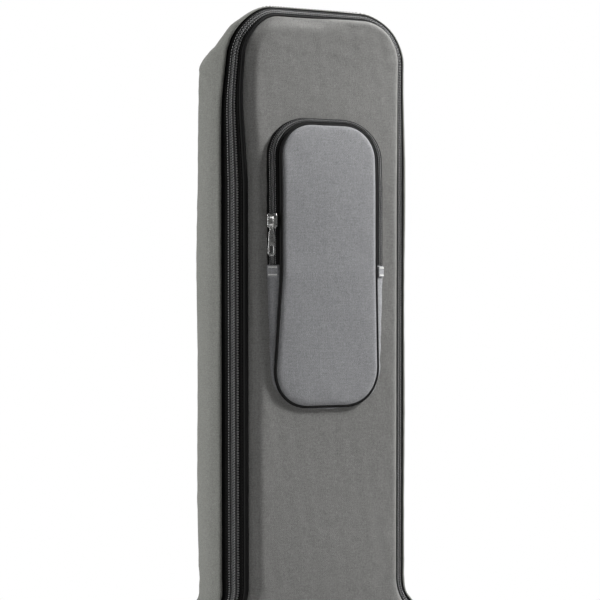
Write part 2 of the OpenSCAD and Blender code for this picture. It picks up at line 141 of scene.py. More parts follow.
def corner(a, v, b):
    a, v, b = (np.array(q, float) for q in (a, v, b))
    r = v[2]
    d1 = (v - a)[:2] / np.linalg.norm((v - a)[:2])
    d2 = (b - v)[:2] / np.linalg.norm((b - v)[:2])
    turn = math.atan2(d1[0] * d2[1] - d1[1] * d2[0], d1 @ d2)
    side = math.copysign(1, turn)
    start = v[:2] - d1 * r * math.tan(abs(turn) / 2)
    centre = start + np.array([-d1[1], d1[0]]) * r * side
    heading = math.atan2(d1[1], d1[0])
    steps = max(3, math.ceil(abs(turn) * r / ARC_SPACING))
    out = []
    for k in range(steps + 1):
        h = heading + turn * k / steps
        n = np.array([math.sin(h), -math.cos(h)])
        out.append((centre + side * r * n, n))
    return out


def rounded_path(corners, plain=False):
    """A closed path round corners of (x, z, radius), with straight runs between their arcs."""
    count = len(corners)
    arcs = [corner(corners[i - 1], corners[i], corners[(i + 1) % count]) for i in range(count)]
    points, normals, marks = [], [], []
    for i, arc in enumerate(arcs):
        marks.append(len(points))
        for p, n in arc:
            points.append(p)
            normals.append(n)
        nxt = arcs[(i + 1) % count][0]
        run = nxt[0] - points[-1]
        steps = int(np.linalg.norm(run) // LINE_SPACING)
        last_p, last_n = points[-1], normals[-1]
        for k in range(1, steps):
            points.append(last_p + run * k / steps)
            normals.append(last_n)
    path = Path(points, normals, True, plain)
    path.marks = marks
    return path


SEAM_CORNERS = [
    (172, 24, 115), (180, 200, 100), (138, 290, 70), (150, 430, 55), (78.5, 462, 45),
    (79.5, 870, 150), (86, 1030, 38),
]
seam = rounded_path(SEAM_CORNERS + [(-x, z, r) for x, z, r in reversed(SEAM_CORNERS)])


def rounded_rectangle(half_w, z0, z1, r):
    return rounded_path([(half_w, z0, r), (half_w, z1, r), (-half_w, z1, r), (-half_w, z0, r)], True)


# The sewn hinge strip runs from the end of the first corner to the end of the second one.
def corner_end(path, index):
    nxt = path.marks[index + 1]
    turn = [np.dot(path.n[i], path.n[i - 1]) for i in range(path.marks[index] + 1, nxt)]
    return path.marks[index] + 1 + max(i for i, c in enumerate(turn) if c < 1 - 1e-9)


hinge_start, hinge_end = corner_end(seam, 0), corner_end(seam, 1)
zip_path = seam.sub(range(hinge_end, hinge_start + len(seam.p) + 1))
hinge_path = seam.sub(range(hinge_start, hinge_end + 1))

# ---------------------------------------------------------------- mesh tools


def wobble(p, size, seed, waves=9):
    """A smooth random field near -1 to 1 at points p, with features about size across."""
    rng = np.random.default_rng(seed)
    p = np.asarray(p, float)
    total = np.zeros(p.shape[:-1])
    for _ in range(waves):
        k = rng.normal(size=p.shape[-1])
        k *= rng.uniform(0.6, 1.5) * math.pi / size / np.linalg.norm(k)
        total += np.sin(p @ k + rng.uniform(0, 2 * math.pi))
    return total / math.sqrt(waves)


def grid_faces(rows, cols, close_rows=False, close_cols=False):
    i = np.arange(rows if close_rows else rows - 1)[:, None]
    j = np.arange(cols if close_cols else cols - 1)[None, :]
    i2, j2 = (i + 1) % rows, (j + 1) % cols
    quads = [i * cols + j, i2 * cols + j, i2 * cols + j2, i * cols + j2]
    return np.stack(np.broadcast_arrays(*quads), -1).reshape(-1, 4)


def grid_normals(v, close_rows, close_cols):
    def diff(axis, closed):
        if closed:
            return np.roll(v, -1, axis) - np.roll(v, 1, axis)
        return np.gradient(v, axis=axis)

    n = np.cross(diff(0, close_rows), diff(1, close_cols))
    return n / np.maximum(np.linalg.norm(n, axis=-1, keepdims=True), 1e-9)


def listed(faces):
    return faces.tolist() if isinstance(faces, np.ndarray) else faces


def mesh_object(name, verts, faces, material):
    """A smooth mesh object from millimetre vertices."""
    mesh = bpy.data.meshes.new(name)
    mesh.from_pydata((np.asarray(verts, float).reshape(-1, 3) * MM).tolist(), [], listed(faces))
    mesh.validate()
    mesh.polygons.foreach_set("use_smooth", [True] * len(mesh.polygons))
    mesh.update()
    mesh.materials.append(material)
    ob = bpy.data.objects.new(name, mesh)
    bpy.context.scene.collection.objects.link(ob)
    return ob


def dress(ob, body=None, slot=None, replaces=()):
    """The slot is not used."""
    if body:
        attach(ob, body)
    if replaces:
        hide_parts(*replaces)
    return ob


def piece(name, verts, faces, material, **dressing):
    return dress(mesh_object(name, verts, faces, material), **dressing)


def swept(name, grid, closed_path, material, **dressing):
    """A piece from points (along, round) of a closed section, with flat ends on an open path."""
    return piece(name, grid, capped(grid.shape[:2], closed_path), material, **dressing)


def thicken(ob, thickness):
    solid = ob.modifiers.new("thickness", "SOLIDIFY")
    solid.thickness = thickness * MM
    solid.offset = -1
    return ob


def merged(parts):
    """Joins (verts, faces) pairs into one pair."""
    verts, faces, start = [], [], 0
    for v, f in parts:
        v = np.asarray(v, float).reshape(-1, 3)
        verts.append(v)
        faces.extend([[q + start for q in face] for face in listed(f)])
        start += len(v)
    return np.vstack(verts), faces


def carried(path, section):
    """Grid of points (along the path, along the section)."""
    return np.stack([path.place(path.s, o, y) for o, y in np.array(section, float)], 1)


def end_faces(rows, cols):
    return [list(range(cols)), [(rows - 1) * cols + j for j in reversed(range(cols))]]


def capped(grid_shape, closed_path):
    """Faces of a closed section carried along a path, with flat ends on an open path."""
    rows, cols = grid_shape
    ends = [] if closed_path else end_faces(rows, cols)
    return grid_faces(rows, cols, closed_path, True).tolist() + ends


def outward(v, closed_path):
    """The grid with its section order turned so that faces look outward."""
    centre = v.mean(axis=1, keepdims=True)
    n = grid_normals(v, closed_path, True)
    return v if ((v - centre) * n).sum() > 0 else v[:, ::-1]


def band_piece(name, path, section, material, **dressing):
    return swept(name, outward(carried(path, section), path.closed), path.closed, material, **dressing)


def smooth_line(points, per=6):
    """A Catmull-Rom line through points."""
    q = np.array(points, float)
    ext = np.vstack([2 * q[0] - q[1], q, 2 * q[-1] - q[-2]])
    out = []
    for i in range(1, len(ext) - 2):
        p0, p1, p2, p3 = ext[i - 1: i + 3]
        for t in np.arange(per) / per:
            out.append(0.5 * (2 * p1 + (p2 - p0) * t + (2 * p0 - 5 * p1 + 4 * p2 - p3) * t**2
                              + (3 * p1 - p0 - 3 * p2 + p3) * t**3))
    out.append(q[-1])
    return np.array(out)


def tube(points, radius, sides, reference, closed=False):
    """Verts and faces of a tube. reference is a direction, or one per point, never along it."""
    pts = np.asarray(points, float)
    if closed:
        t = np.roll(pts, -1, 0) - np.roll(pts, 1, 0)
    else:
        t = np.gradient(pts, axis=0)
    t /= np.maximum(np.linalg.norm(t, axis=1, keepdims=True), 1e-9)
    b = np.cross(t, np.broadcast_to(reference, t.shape))
    b /= np.maximum(np.linalg.norm(b, axis=1, keepdims=True), 1e-9)
    n = np.cross(b, t)
    a = round_angles(sides)
    r = np.broadcast_to(np.asarray(radius, float), (len(pts),))[:, None, None]
    v = pts[:, None] + r * (np.cos(a)[None, :, None] * n[:, None] + np.sin(a)[None, :, None] * b[:, None])
    faces = grid_faces(len(pts), sides, closed, True)[:, ::-1].tolist()
    return v, faces + ([] if closed else end_faces(len(pts), sides))


def pellets(centres, along, across, length, width, height):
    """Small rounded stitches: a stretched bead at each centre, lying along its direction."""
    rings = np.array([-0.5, -0.38, 0, 0.38, 0.5])
    girth = np.array([0.25, 0.85, 1.0, 0.85, 0.25])
    sides = 6
    a = round_angles(sides)
    along = along / np.linalg.norm(along, axis=1, keepdims=True)
    up = np.cross(along, across)
    up /= np.linalg.norm(up, axis=1, keepdims=True)
    side = np.cross(up, along)
    local = np.stack([
        np.repeat(rings * length, sides),
        (girth[:, None] * np.cos(a) * width / 2).ravel(),
        (girth[:, None] * np.sin(a) * height / 2).ravel(),
    ], -1)
    v = (centres[:, None] + local[None, :, 0, None] * along[:, None]
         + local[None, :, 1, None] * side[:, None] + local[None, :, 2, None] * up[:, None])
    one = grid_faces(len(rings), sides, False, True).tolist()
    one += [list(reversed(range(sides))), [(len(rings) - 1) * sides + j for j in range(sides)]]
    per = len(rings) * sides
    faces = [[q + k * per for q in f] for k in range(len(centres)) for f in one]
    return v, faces


def stitch_row(path, outset, y, pitch, length=None, width=0.7, margin=0.0):
    """Verts and faces of a row of stitches that follows a path."""
    run = path.length if path.closed else path.s[-1]
    s = np.arange(margin + pitch / 2, run - margin, pitch)
    centres = path.place(s, outset, y)
    n = path.at(s)[1]
    along = np.stack([-n[:, 1], np.zeros(len(s)), n[:, 0]], -1)
    across = np.stack([n[:, 0], np.zeros(len(s)), n[:, 1]], -1)
    return pellets(centres, along, across, length or pitch * 0.72, width, 0.55)


def coil_half(path, origin, slope, t0, t1, height, pitch, wire, phase, inner):
    """Verts and faces of one nylon coil half: flattened loops between t0 and t1 of a band."""
    u, n2 = band_axes(slope)
    turns = int(path.s[-1] // pitch)
    steps = 10
    phi = np.arange(turns * steps) * 2 * math.pi / steps
    s = (phi / (2 * math.pi) + phase) * pitch
    c, sn = np.cos(phi), np.sin(phi)
    mid, half = (t0 + t1) / 2, (t1 - t0 - wire) / 2
    t = mid + (half if inner else -half) * squarish(c, 0.55)
    h = height / 2 + (height - wire) / 2 * squarish(sn, 0.6)
    outset = origin[0] + u[0] * t + n2[0] * h
    y = origin[1] + u[1] * t + n2[1] * h
    points = path.place(s, outset, y)
    n = path.at(s)[1]
    along = np.stack([-n[:, 1], np.zeros(len(s)), n[:, 0]], -1)
    return tube(points, wire / 2, 6, along)


def band_axes(slope):
    u = np.array(slope, float) / np.hypot(*slope)
    return u, np.array([u[1], -u[0]])


def strip(origin, slope, t0, t1, h0, h1):
    u, n = band_axes(slope)
    return [np.array(origin, float) + u * t + n * h for t, h in ((t0, h0), (t1, h0), (t1, h1), (t0, h1))]


def round_angles(sides):
    return np.arange(sides) * 2 * math.pi / sides


def squarish(v, power):
    """Sines or cosines raised to a power with their signs kept, which squares a round section."""
    return np.sign(v) * np.abs(v) ** power


def unrolled(path, across):
    """Coordinates on the flat cloth of a band: run along the path, distance across it."""
    return np.stack(np.broadcast_arrays(path.s[:, None], across), -1)


def circle_section(centre, r, sides=14):
    a = round_angles(sides)
    return np.stack([centre[0] + r * np.cos(a), centre[1] + r * np.sin(a)], -1)


def edge_distance(path, outset, x, z):
    """Distance from points to the outline of a path."""
    line = path.outline(outset)
    a, b = line, np.roll(line, -1, 0)
    d = b - a
    pts = np.stack([x.ravel(), z.ravel()], -1)
    out = np.empty(len(pts))
    for k in range(0, len(pts), 4000):
        q = pts[k:k + 4000, None] - a[None]
        t = np.clip((q * d).sum(-1) / np.maximum((d * d).sum(-1), 1e-9), 0, 1)
        out[k:k + 4000] = np.sqrt(((q - t[..., None] * d) ** 2).sum(-1).min(1))
    return out.reshape(x.shape)


def sheet_grid(path, outset, columns=56):
    """Rows across a symmetric outline from its right side to its left: x, z and edge distance."""
    line = path.outline(outset)
    right = line[(line[:, 0] > 0)]
    right = right[np.argsort(right[:, 1], kind="stable")]
    rows = [right[0]]
    for q in right[1:]:
        if q[1] - rows[-1][1] > 0.35:
            rows.append(q)
    rows = np.array(rows)
    theta = np.linspace(-math.pi / 2, math.pi / 2, columns)
    share = 0.55 * np.sin(theta) + 0.45 * np.linspace(-1, 1, columns)
    x = rows[:, :1] * share[None]
    z = np.repeat(rows[:, 1:], columns, 1)
    return x, z, edge_distance(path, outset, x, z)


def crown(d, drop, round_r, puff, reach=45.0):
    """Height above the edge: a quarter round, then a slow rise towards the middle."""
    k = 1 - np.minimum(d / round_r, 1)
    return drop * np.sqrt(np.maximum(1 - k * k, 0)) + puff * (1 - np.exp(-d / reach))


def sag(v):
    """Lets the top of the bag fall away towards its back, least round the hang loop."""
    x, y, z = np.moveaxis(v, -1, 0)
    fall = (SAG_MIDDLE + SAG_SIDES * ramp(np.abs(x), 18, 60)) * ramp(y, -17, 20)
    return np.stack([x, y, z - fall * ramp(z, 945, 1046)], -1)


def crowned(name, path, outset, y_edge, facing, shape, material, thickness=1.2, **dressing):
    """A padded sheet that fills an outline. facing is -1 for the lid side and 1 for the back."""
    x, z, d = sheet_grid(path, outset)
    y = lean(y_edge + facing * shape(x, z, d), z)
    v = sag(np.stack([x, y, z], -1))
    v = v if path.plain else slump(v)
    faces = grid_faces(*x.shape)
    if facing > 0:
        faces = faces[:, ::-1]
    return thicken(piece(name, v, faces, material, **dressing), thickness)


# ---------------------------------------------------------------- materials


class Nodes:
    """Short names for building a node tree."""

    def __init__(self, name):
        self.material = bpy.data.materials.new(name)
        self.material.use_nodes = True
        self.tree = self.material.node_tree
        self.bsdf = self.tree.nodes["Principled BSDF"]

    def add(self, kind, **settings):
        node = self.tree.nodes.new(kind)
        for key, value in settings.items():
            setattr(node, key, value)
        return node

    def link(self, a, b):
        self.tree.links.new(a, b)

    def feed(self, sockets, values):
        """Sets each socket to a number or links it to another node's output."""
        for socket, value in zip(sockets, values):
            if isinstance(value, (int, float)):
                socket.default_value = value
            else:
                self.link(value, socket)

    def math(self, op, a, *b, clamp=False):
        node = self.add("ShaderNodeMath", operation=op, use_clamp=clamp)
        self.feed(node.inputs, (a, *b))
        return node.outputs[0]

    def mix(self, factor, a, b):
        """Numbers a to b by factor."""
        node = self.add("ShaderNodeMix", data_type="FLOAT")
        self.feed((node.inputs[0], node.inputs[2], node.inputs[3]), (factor, a, b))
        return node.outputs[0]

    def plane(self, u, v):
        node = self.add("ShaderNodeCombineXYZ")
        self.feed(node.inputs, (u, v))
        return node.outputs[0]

    def noise(self, vector, scale, detail=3.0, rough=0.55):
        node = self.add("ShaderNodeTexNoise")
        node.inputs["Scale"].default_value = scale
        node.inputs["Detail"].default_value = detail
        node.inputs["Roughness"].default_value = rough
        self.link(vector, node.inputs["Vector"])
        return node.outputs["Fac"]

    def shade(self, factor, low, high):
        """A colour between low and high."""
        node = self.add("ShaderNodeMix", data_type="RGBA")
        node.inputs[6].default_value = (*low, 1)
        node.inputs[7].default_value = (*high, 1)
        self.link(factor, node.inputs[0])
        return node.outputs[2]

    def bump(self, height, strength, distance):
        node = self.add("ShaderNodeBump")
        node.inputs["Strength"].default_value = strength
        node.inputs["Distance"].default_value = distance
        self.link(height, node.inputs["Height"])
        self.link(node.outputs[0], self.bsdf.inputs["Normal"])


def surface_plane(nodes):
    """Two in-plane coordinates of the surface, in metres, picked by where it faces."""
    coords = nodes.add("ShaderNodeTexCoord")
    place = nodes.add("ShaderNodeSeparateXYZ")
    facing = nodes.add("ShaderNodeSeparateXYZ")
    nodes.link(coords.outputs["Object"], place.inputs[0])
    nodes.link(coords.outputs["Normal"], facing.inputs[0])
    x, y, z = place.outputs
    side = nodes.math("GREATER_THAN", nodes.math("ABSOLUTE", facing.outputs[0]), 0.7)
    top = nodes.math("GREATER_THAN", nodes.math("ABSOLUTE", facing.outputs[2]), 0.7)
    return coords.outputs["Object"], nodes.mix(side, x, y), nodes.mix(top, z, y)


def woven(name, low, high, thread=1.1, depth=0.2, rough=0.85, slub=0.5, stain=0.12, fleck=0.42):
    """Plain weave with threads of one width, slubs along them and a slow change of shade."""
    n = Nodes(name)
    where, u, v = surface_plane(n)
    turn = math.pi / (thread * MM)
    su, sv = n.math("SINE", n.math("MULTIPLY", u, turn)), n.math("SINE", n.math("MULTIPLY", v, turn))
    over = n.math("GREATER_THAN", n.math("MULTIPLY", su, sv), 0.0)
    height = n.mix(over, n.math("ABSOLUTE", su), n.math("ABSOLUTE", sv))
    fine, slow = 900 / thread, 130 / thread
    upright = n.plane(n.math("MULTIPLY", u, fine), n.math("MULTIPLY", v, slow))
    level = n.plane(n.math("MULTIPLY", u, slow), n.math("MULTIPLY", v, fine))
    threads = n.mix(over, n.noise(upright, 1.0, 1.0), n.noise(level, 1.0, 1.0))
    broad = n.noise(where, 9.0, 4.0)
    flecks = n.noise(where, 760.0, 2.0, 0.7)
    tone = n.math("ADD", n.math("MULTIPLY", height, 0.36), n.math("MULTIPLY", threads, slub))
    tone = n.math("ADD", tone, n.math("MULTIPLY", n.math("SUBTRACT", flecks, 0.5), fleck * 2))
    tone = n.math("ADD", tone, n.math("MULTIPLY", broad, stain), clamp=True)
    n.link(n.shade(tone, low, high), n.bsdf.inputs["Base Color"])
    relief = n.math("ADD", height, n.math("MULTIPLY", threads, 0.6))
    n.bump(relief, 0.55, depth * MM)
    n.link(n.mix(threads, rough - 0.08, rough + 0.08), n.bsdf.inputs["Roughness"])
    n.bsdf.inputs["Sheen Weight"].default_value = 0.06
    n.bsdf.inputs["Sheen Roughness"].default_value = 0.5
    n.bsdf.inputs["Specular IOR Level"].default_value = 0.2
    return n.material


def ribbed(name, low, high, pitch, rough=0.7, depth=0.2, gloss=0.2):
    """Narrow tape or webbing with ribs of one pitch and a fine thread noise."""
    n = Nodes(name)
    where, u, v = surface_plane(n)
    turn = math.pi / (pitch * MM)
    rib = n.math("ABSOLUTE", n.math("SINE", n.math("MULTIPLY", n.math("ADD", u, v), turn)))
    counter = n.math("ABSOLUTE", n.math("SINE", n.math("MULTIPLY", n.math("SUBTRACT", u, v), turn * 0.7)))
    height = n.math("ADD", n.math("MULTIPLY", rib, 0.65), n.math("MULTIPLY", counter, 0.35))
    grain = n.noise(where, 900.0, 2.0)
    tone = n.math("ADD", n.math("MULTIPLY", height, 0.5), n.math("MULTIPLY", grain, 0.6), clamp=True)
    n.link(n.shade(tone, low, high), n.bsdf.inputs["Base Color"])
    n.bump(n.math("ADD", height, grain), 0.6, depth * MM)
    n.link(n.mix(grain, rough - 0.1, rough + 0.1), n.bsdf.inputs["Roughness"])
    n.bsdf.inputs["Specular IOR Level"].default_value = gloss
    return n.material


def moulded(name, low, high, rough=0.42, grain_scale=700.0, depth=0.05, gloss=0.5):
    """Moulded plastic or rubber: fine grain, faint scuffs, a soft highlight."""
    n = Nodes(name)
    coords = n.add("ShaderNodeTexCoord").outputs["Object"]
    grain = n.noise(coords, grain_scale, 3.0)
    scuffs = n.noise(coords, 60.0, 6.0, 0.7)
    n.link(n.shade(scuffs, low, high), n.bsdf.inputs["Base Color"])
    n.link(n.mix(scuffs, rough - 0.1, rough + 0.14), n.bsdf.inputs["Roughness"])
    n.bump(grain, 0.4, depth * MM)
    n.bsdf.inputs["Specular IOR Level"].default_value = gloss
    return n.material


def plated(name):
    """Bright nickel plating with a brushed bloom and worn spots."""
    n = Nodes(name)
    coords = n.add("ShaderNodeTexCoord").outputs["Object"]
    wear = n.noise(coords, 260.0, 4.0, 0.65)
    fine = n.noise(coords, 1500.0, 2.0)
    n.link(n.shade(wear, (0.50, 0.50, 0.49), (0.80, 0.80, 0.79)), n.bsdf.inputs["Base Color"])
    n.bsdf.inputs["Metallic"].default_value = 1.0
    n.link(n.mix(wear, 0.18, 0.38), n.bsdf.inputs["Roughness"])
    n.bump(fine, 0.15, 0.03 * MM)
    return n.material


def grey(level):
    return (level, level, level)


GREY = woven("grey_canvas", (0.075, 0.075, 0.071), (0.290, 0.288, 0.279))
SIDE_GREY = woven("side_canvas", (0.075, 0.077, 0.069), (0.290, 0.294, 0.273))
POCKET_GREY = woven("pocket_canvas", (0.104, 0.105, 0.110), (0.385, 0.388, 0.400), thread=1.2)
LINING = woven("lining_cloth", (0.018, 0.018, 0.022), (0.075, 0.075, 0.085), thread=0.6, depth=0.1)
TAPE = ribbed("zipper_tape", grey(0.002), grey(0.018), 0.8, gloss=0.08)
WEBBING = ribbed("webbing", grey(0.006), (0.045, 0.045, 0.046), 1.6, depth=0.35)
PIPING = ribbed("piping_cover", grey(0.003), grey(0.015), 0.7, gloss=0.08)
BINDING = ribbed("pocket_binding", grey(0.012), (0.056, 0.056, 0.058), 0.7, gloss=0.1)
COIL = moulded("nylon_coil", (0.20, 0.20, 0.202), (0.40, 0.40, 0.404), rough=0.3)
THREAD = ribbed("grey_thread", grey(0.1), (0.26, 0.26, 0.255), 0.3, rough=0.6, depth=0.05)
BLACK_THREAD = ribbed("black_thread", grey(0.004), grey(0.03), 0.3, depth=0.05)
WHITE_THREAD = ribbed("white_thread", (0.55, 0.55, 0.53), (0.95, 0.95, 0.93), 0.3, depth=0.05)
NICKEL = plated("nickel")
PLASTIC = moulded("black_plastic", grey(0.008), grey(0.028))
RUBBER = moulded("rubber", grey(0.01), (0.035, 0.034, 0.033), rough=0.62, depth=0.12)

# ---------------------------------------------------------------- main shell

ORIGIN = (0.0, Y_SEAM)
SLOPE = (15.2, 19.9)
BAND_WIDTH = 25.0
PIPE_R = 2.2
COIL_MID = 11.75
COIL_HALF = 5.3
COIL_H = 2.1
COIL_PITCH = 2.5
COIL_WIRE = 1.05
COIL_MEET = 0.35
CREST = COIL_H + 0.05


def band_at(t, h=0.0, origin=ORIGIN, slope=SLOPE):
    u, n = band_axes(slope)
    return np.array(origin) + u * t + n * h


def panel_shape(x, z, d):
    """Lid panel: rolled edge, slow swell, and puckers where the piping draws the cloth in.

    The padding fills the right edge crisply, and leaves a soft hollow along the left one.
    """
    p = np.stack([x, z], -1)
    crisp = ramp(x, -15, 45)
    rise = crown(d, 1.4, 2.5, 1.4) + 5.2 * (ramp(d, -1, 13) * (1 - crisp) + ramp(d, -4, 4) * crisp)
    rise += 0.55 * wobble(p, 110, 3) * np.minimum(d / 30, 1)
    rise += 0.30 * wobble(p * (1.0, 2.2), 17, 4) * np.exp(-np.maximum(d - 4, 0) / 12) * np.minimum(d / 3, 1)
    rise += 0.12 * wobble(p, 9, 5) * np.minimum(d / 4, 1)
    return rise


crowned("lid_panel_cover", seam, -1.2, Y_SEAM + 0.4, -1, panel_shape, GREY, body="lid",
        replaces=("lid_panel", "lid_foam"))


def back_shape(x, z, d):
    p = np.stack([x, z], -1)
    rise = crown(d, 2.6, 7.0, 1.2) + 0.5 * wobble(p, 120, 8) * np.minimum(d / 30, 1)
    return rise + 0.2 * wobble(p, 20, 9) * np.exp(-d / 16)


crowned("back_panel_cover", seam, 5.4, Y_BACK - 1.6, 1, back_shape, GREY, body="base",
        replaces=("back_panel", "back_foam"))

GUSSET_SPAN = 60
GUSSET_LINE = smooth_line([
    band_at(BAND_WIDTH - 1.2, 1.0), band_at(BAND_WIDTH - 0.4, 1.2), (16.6, -13.5), (18.6, -4), (19, 10),
    (17.5, 26), (13.5, 36.0), (8, 40.8), (5.2, 41.4),
], 5)


def corner_folds(v, n):
    """Long diagonal folds that fan out from the top corners of the side wall."""
    x, y, z = np.moveaxis(v, -1, 0)
    near = ramp(z, 930, 985) * (1 - ramp(z, 1030, 1046)) * ramp(np.abs(n[..., 0]), 0.2, 0.6)
    across = (z - 1.15 * y) * 2 * math.pi
    waves = 0.45 * np.sin(across / 31 + 0.6) + 0.2 * np.sin(across / 17.5 + 2.0)
    return near * waves * ramp(y, -16, -4) * (1 - ramp(y, 24, 38))


def gusset_cover():
    """Side wall: a soft bulge, gathered folds round tight corners and slack between them."""
    v = carried(seam, GUSSET_LINE)
    rows, cols = v.shape[:2]
    n = grid_normals(v, True, False)
    if (n[:, cols // 2, 0] * seam.n[:, 0]).sum() < 0:
        n = -n
    turn = np.arccos(np.clip((seam.n * np.roll(seam.n, -1, 0)).sum(1), -1, 1))
    step = np.linalg.norm(np.roll(seam.p, -1, 0) - seam.p, axis=1)
    bend = turn / np.maximum(step, 1e-6)
    window = np.hanning(25) / np.hanning(25).sum()
    bend = np.convolve(np.concatenate([bend[-12:], bend, bend[:12]]), window, "valid")
    gather = np.clip(bend / 0.02, 0, 1)[:, None] * (1 - 0.85 * ramp(seam.p[:, 1:], 860, 940))
    across = np.linspace(0, 1, cols)[None, :]
    belly = np.sin(np.pi * across) ** 0.7
    swell = (4.0 * ramp(seam.p[:, 1], 400, 455) * np.abs(seam.n[:, 0]))[:, None] * belly
    flat = unrolled(seam, across * GUSSET_SPAN)
    folds = wobble(flat * (1.0, 0.22), 13, 21) * gather * 0.75 * belly
    slack = wobble(flat * (0.35, 1.0), 34, 22) * 0.75 * belly
    fine = wobble(flat, 11, 23) * 0.16 * belly
    pull = corner_folds(v, seam.n[:, None])
    v = sag(v + n * (folds + slack + fine + swell + pull)[..., None])
    faces = grid_faces(rows, cols, True, False)
    check = grid_normals(v, True, False)
    if (check[:, cols // 2, 0] * seam.n[:, 0]).sum() < 0:
        faces = faces[:, ::-1]
    cover = piece("gusset_cover", v, faces, SIDE_GREY, body="base", replaces=("gusset", "gusset_foam"))
    thicken(cover, 1.3)


gusset_cover()

band_piece("lid_piping_cord", seam, circle_section((0, Y_SEAM), PIPE_R), PIPING, body="lid",
           replaces=("lid_piping",))
back_edge = sag(carried(seam, circle_section((5.0, Y_BACK - 1.0), 1.3, 10)))
swept("back_piping_cord", outward(back_edge, True), True, GREY, body="base")

for half, start, end in (("lid", 1.6, COIL_MID - 0.6), ("base", COIL_MID + 0.6, BAND_WIDTH)):
    band_piece(f"{half}_tape", zip_path, strip(ORIGIN, SLOPE, start, end, -0.7, 0.25), TAPE, body=half,
               replaces=(f"{half}_zip_tape",))
for half, start, end, phase in (("lid", COIL_MID - COIL_HALF, COIL_MID + COIL_MEET, 0.0),
                                ("base", COIL_MID - COIL_MEET, COIL_MID + COIL_HALF, 0.5)):
    loops = coil_half(zip_path, ORIGIN, SLOPE, start, end, COIL_H, COIL_PITCH, COIL_WIRE, phase,
                      half == "lid")
    piece(f"{half}_coil", *loops, COIL, body=half, replaces=(f"{half}_zip_coil",))
for t, half in ((COIL_MID - 2.9, "lid"), (COIL_MID + 2.9, "base")):
    for shift, label in ((-0.5, "inner"), (0.5, "outer")):
        section = circle_section(band_at(t + shift, CREST), 0.42, 6)
        band_piece(f"{half}_coil_seam_{label}", zip_path, section, BLACK_THREAD, body=half)

edge = band_at(BAND_WIDTH + 2.4, 0.6)
piece("gusset_edge_stitches", *stitch_row(seam, edge[0] + 0.45, edge[1], 3.4), THREAD, body="base")
for t, half in ((3.6, "lid"), (BAND_WIDTH - 5.2, "base")):
    rows = stitch_row(zip_path, *band_at(t, 0.45), 3.0, width=0.6)
    piece(f"{half}_tape_stitches", *rows, BLACK_THREAD, body=half)

# ---------------------------------------------------------------- placed flat pieces


def settle(ob):
    """Applies an object's modifiers to its mesh."""
    mesh = bpy.data.meshes.new_from_object(ob.evaluated_get(bpy.context.evaluated_depsgraph_get()))
    ob.modifiers.clear()
    ob.data = mesh
    return ob


def moved(mesh, matrix):
    v, f = mesh
    m = np.array(matrix, float)
    v = np.asarray(v, float).reshape(-1, 3) @ m[:3, :3].T + m[:3, 3]
    if np.linalg.det(m[:3, :3]) < 0:
        f = [list(reversed(face)) for face in listed(f)]
    return v, f


def turned(x=0, y=0, z=0, rx=0, ry=0, rz=0):
    """A placement in millimetres and degrees: moved, then turned about Z, Y and X in that order."""
    m = Matrix.Translation((x, y, z))
    for angle, axis in ((rz, "Z"), (ry, "Y"), (rx, "X")):
        m = m @ Matrix.Rotation(math.radians(angle), 4, axis)
    return m


def plate(outlines, z0, z1, bevel=0.3, steps=2):
    """Verts and faces of a flat plate with rounded rims. Outlines inside the first one are holes."""
    curve = bpy.data.curves.new("plate", "CURVE")
    curve.dimensions = "2D"
    curve.fill_mode = "BOTH"
    for line in outlines:
        spline = curve.splines.new("POLY")
        spline.points.add(len(line) - 1)
        for point, (x, y) in zip(spline.points, line):
            point.co = (x, y, 0, 1)
        spline.use_cyclic_u = True
    curve.extrude = max((z1 - z0) / 2 - bevel, 0.001)
    curve.bevel_depth = bevel
    curve.bevel_resolution = steps
    curve.offset = -bevel
    ob = bpy.data.objects.new("plate", curve)
    bpy.context.scene.collection.objects.link(ob)
    mesh = bpy.data.meshes.new_from_object(ob.evaluated_get(bpy.context.evaluated_depsgraph_get()))
    v = np.array([q.co for q in mesh.vertices]) + (0, 0, (z0 + z1) / 2)
    f = [list(p.vertices) for p in mesh.polygons]
    bpy.data.objects.remove(ob)
    bpy.data.curves.remove(curve)
    bpy.data.meshes.remove(mesh)
    return v, f


def rounded_box(w, h, r, cx=0.0, cy=0.0, steps=6):
    out = []
    for sx, sy, start in ((1, -1, -90), (1, 1, 0), (-1, 1, 90), (-1, -1, 180)):
        for k in range(steps + 1):
            a = math.radians(start + 90 * k / steps)
            out.append((cx + sx * (w / 2 - r) + r * math.cos(a), cy + sy * (h / 2 - r) + r * math.sin(a)))
    return out


def capsule(x, y0, y1, r, steps=10):
    return [(x + r * math.cos(a), y + r * math.sin(a)) for y, turn in ((y1, 0), (y0, math.pi))
            for a in np.linspace(turn, turn + math.pi, steps)]


def crisp_piece(name, mesh, material, angle=50, **dressing):
    """A piece of joined plates, with their rims welded and their flats kept crisp."""
    ob = mesh_object(name, *mesh, material)
    weld = ob.modifiers.new("weld", "WELD")
    weld.merge_threshold = WELD_GAP
    settle(ob)
    ob.data.polygons.foreach_set("use_smooth", [True] * len(ob.data.polygons))
    ob.data.set_sharp_from_angle(angle=math.radians(angle))
    return dress(ob, **dressing)


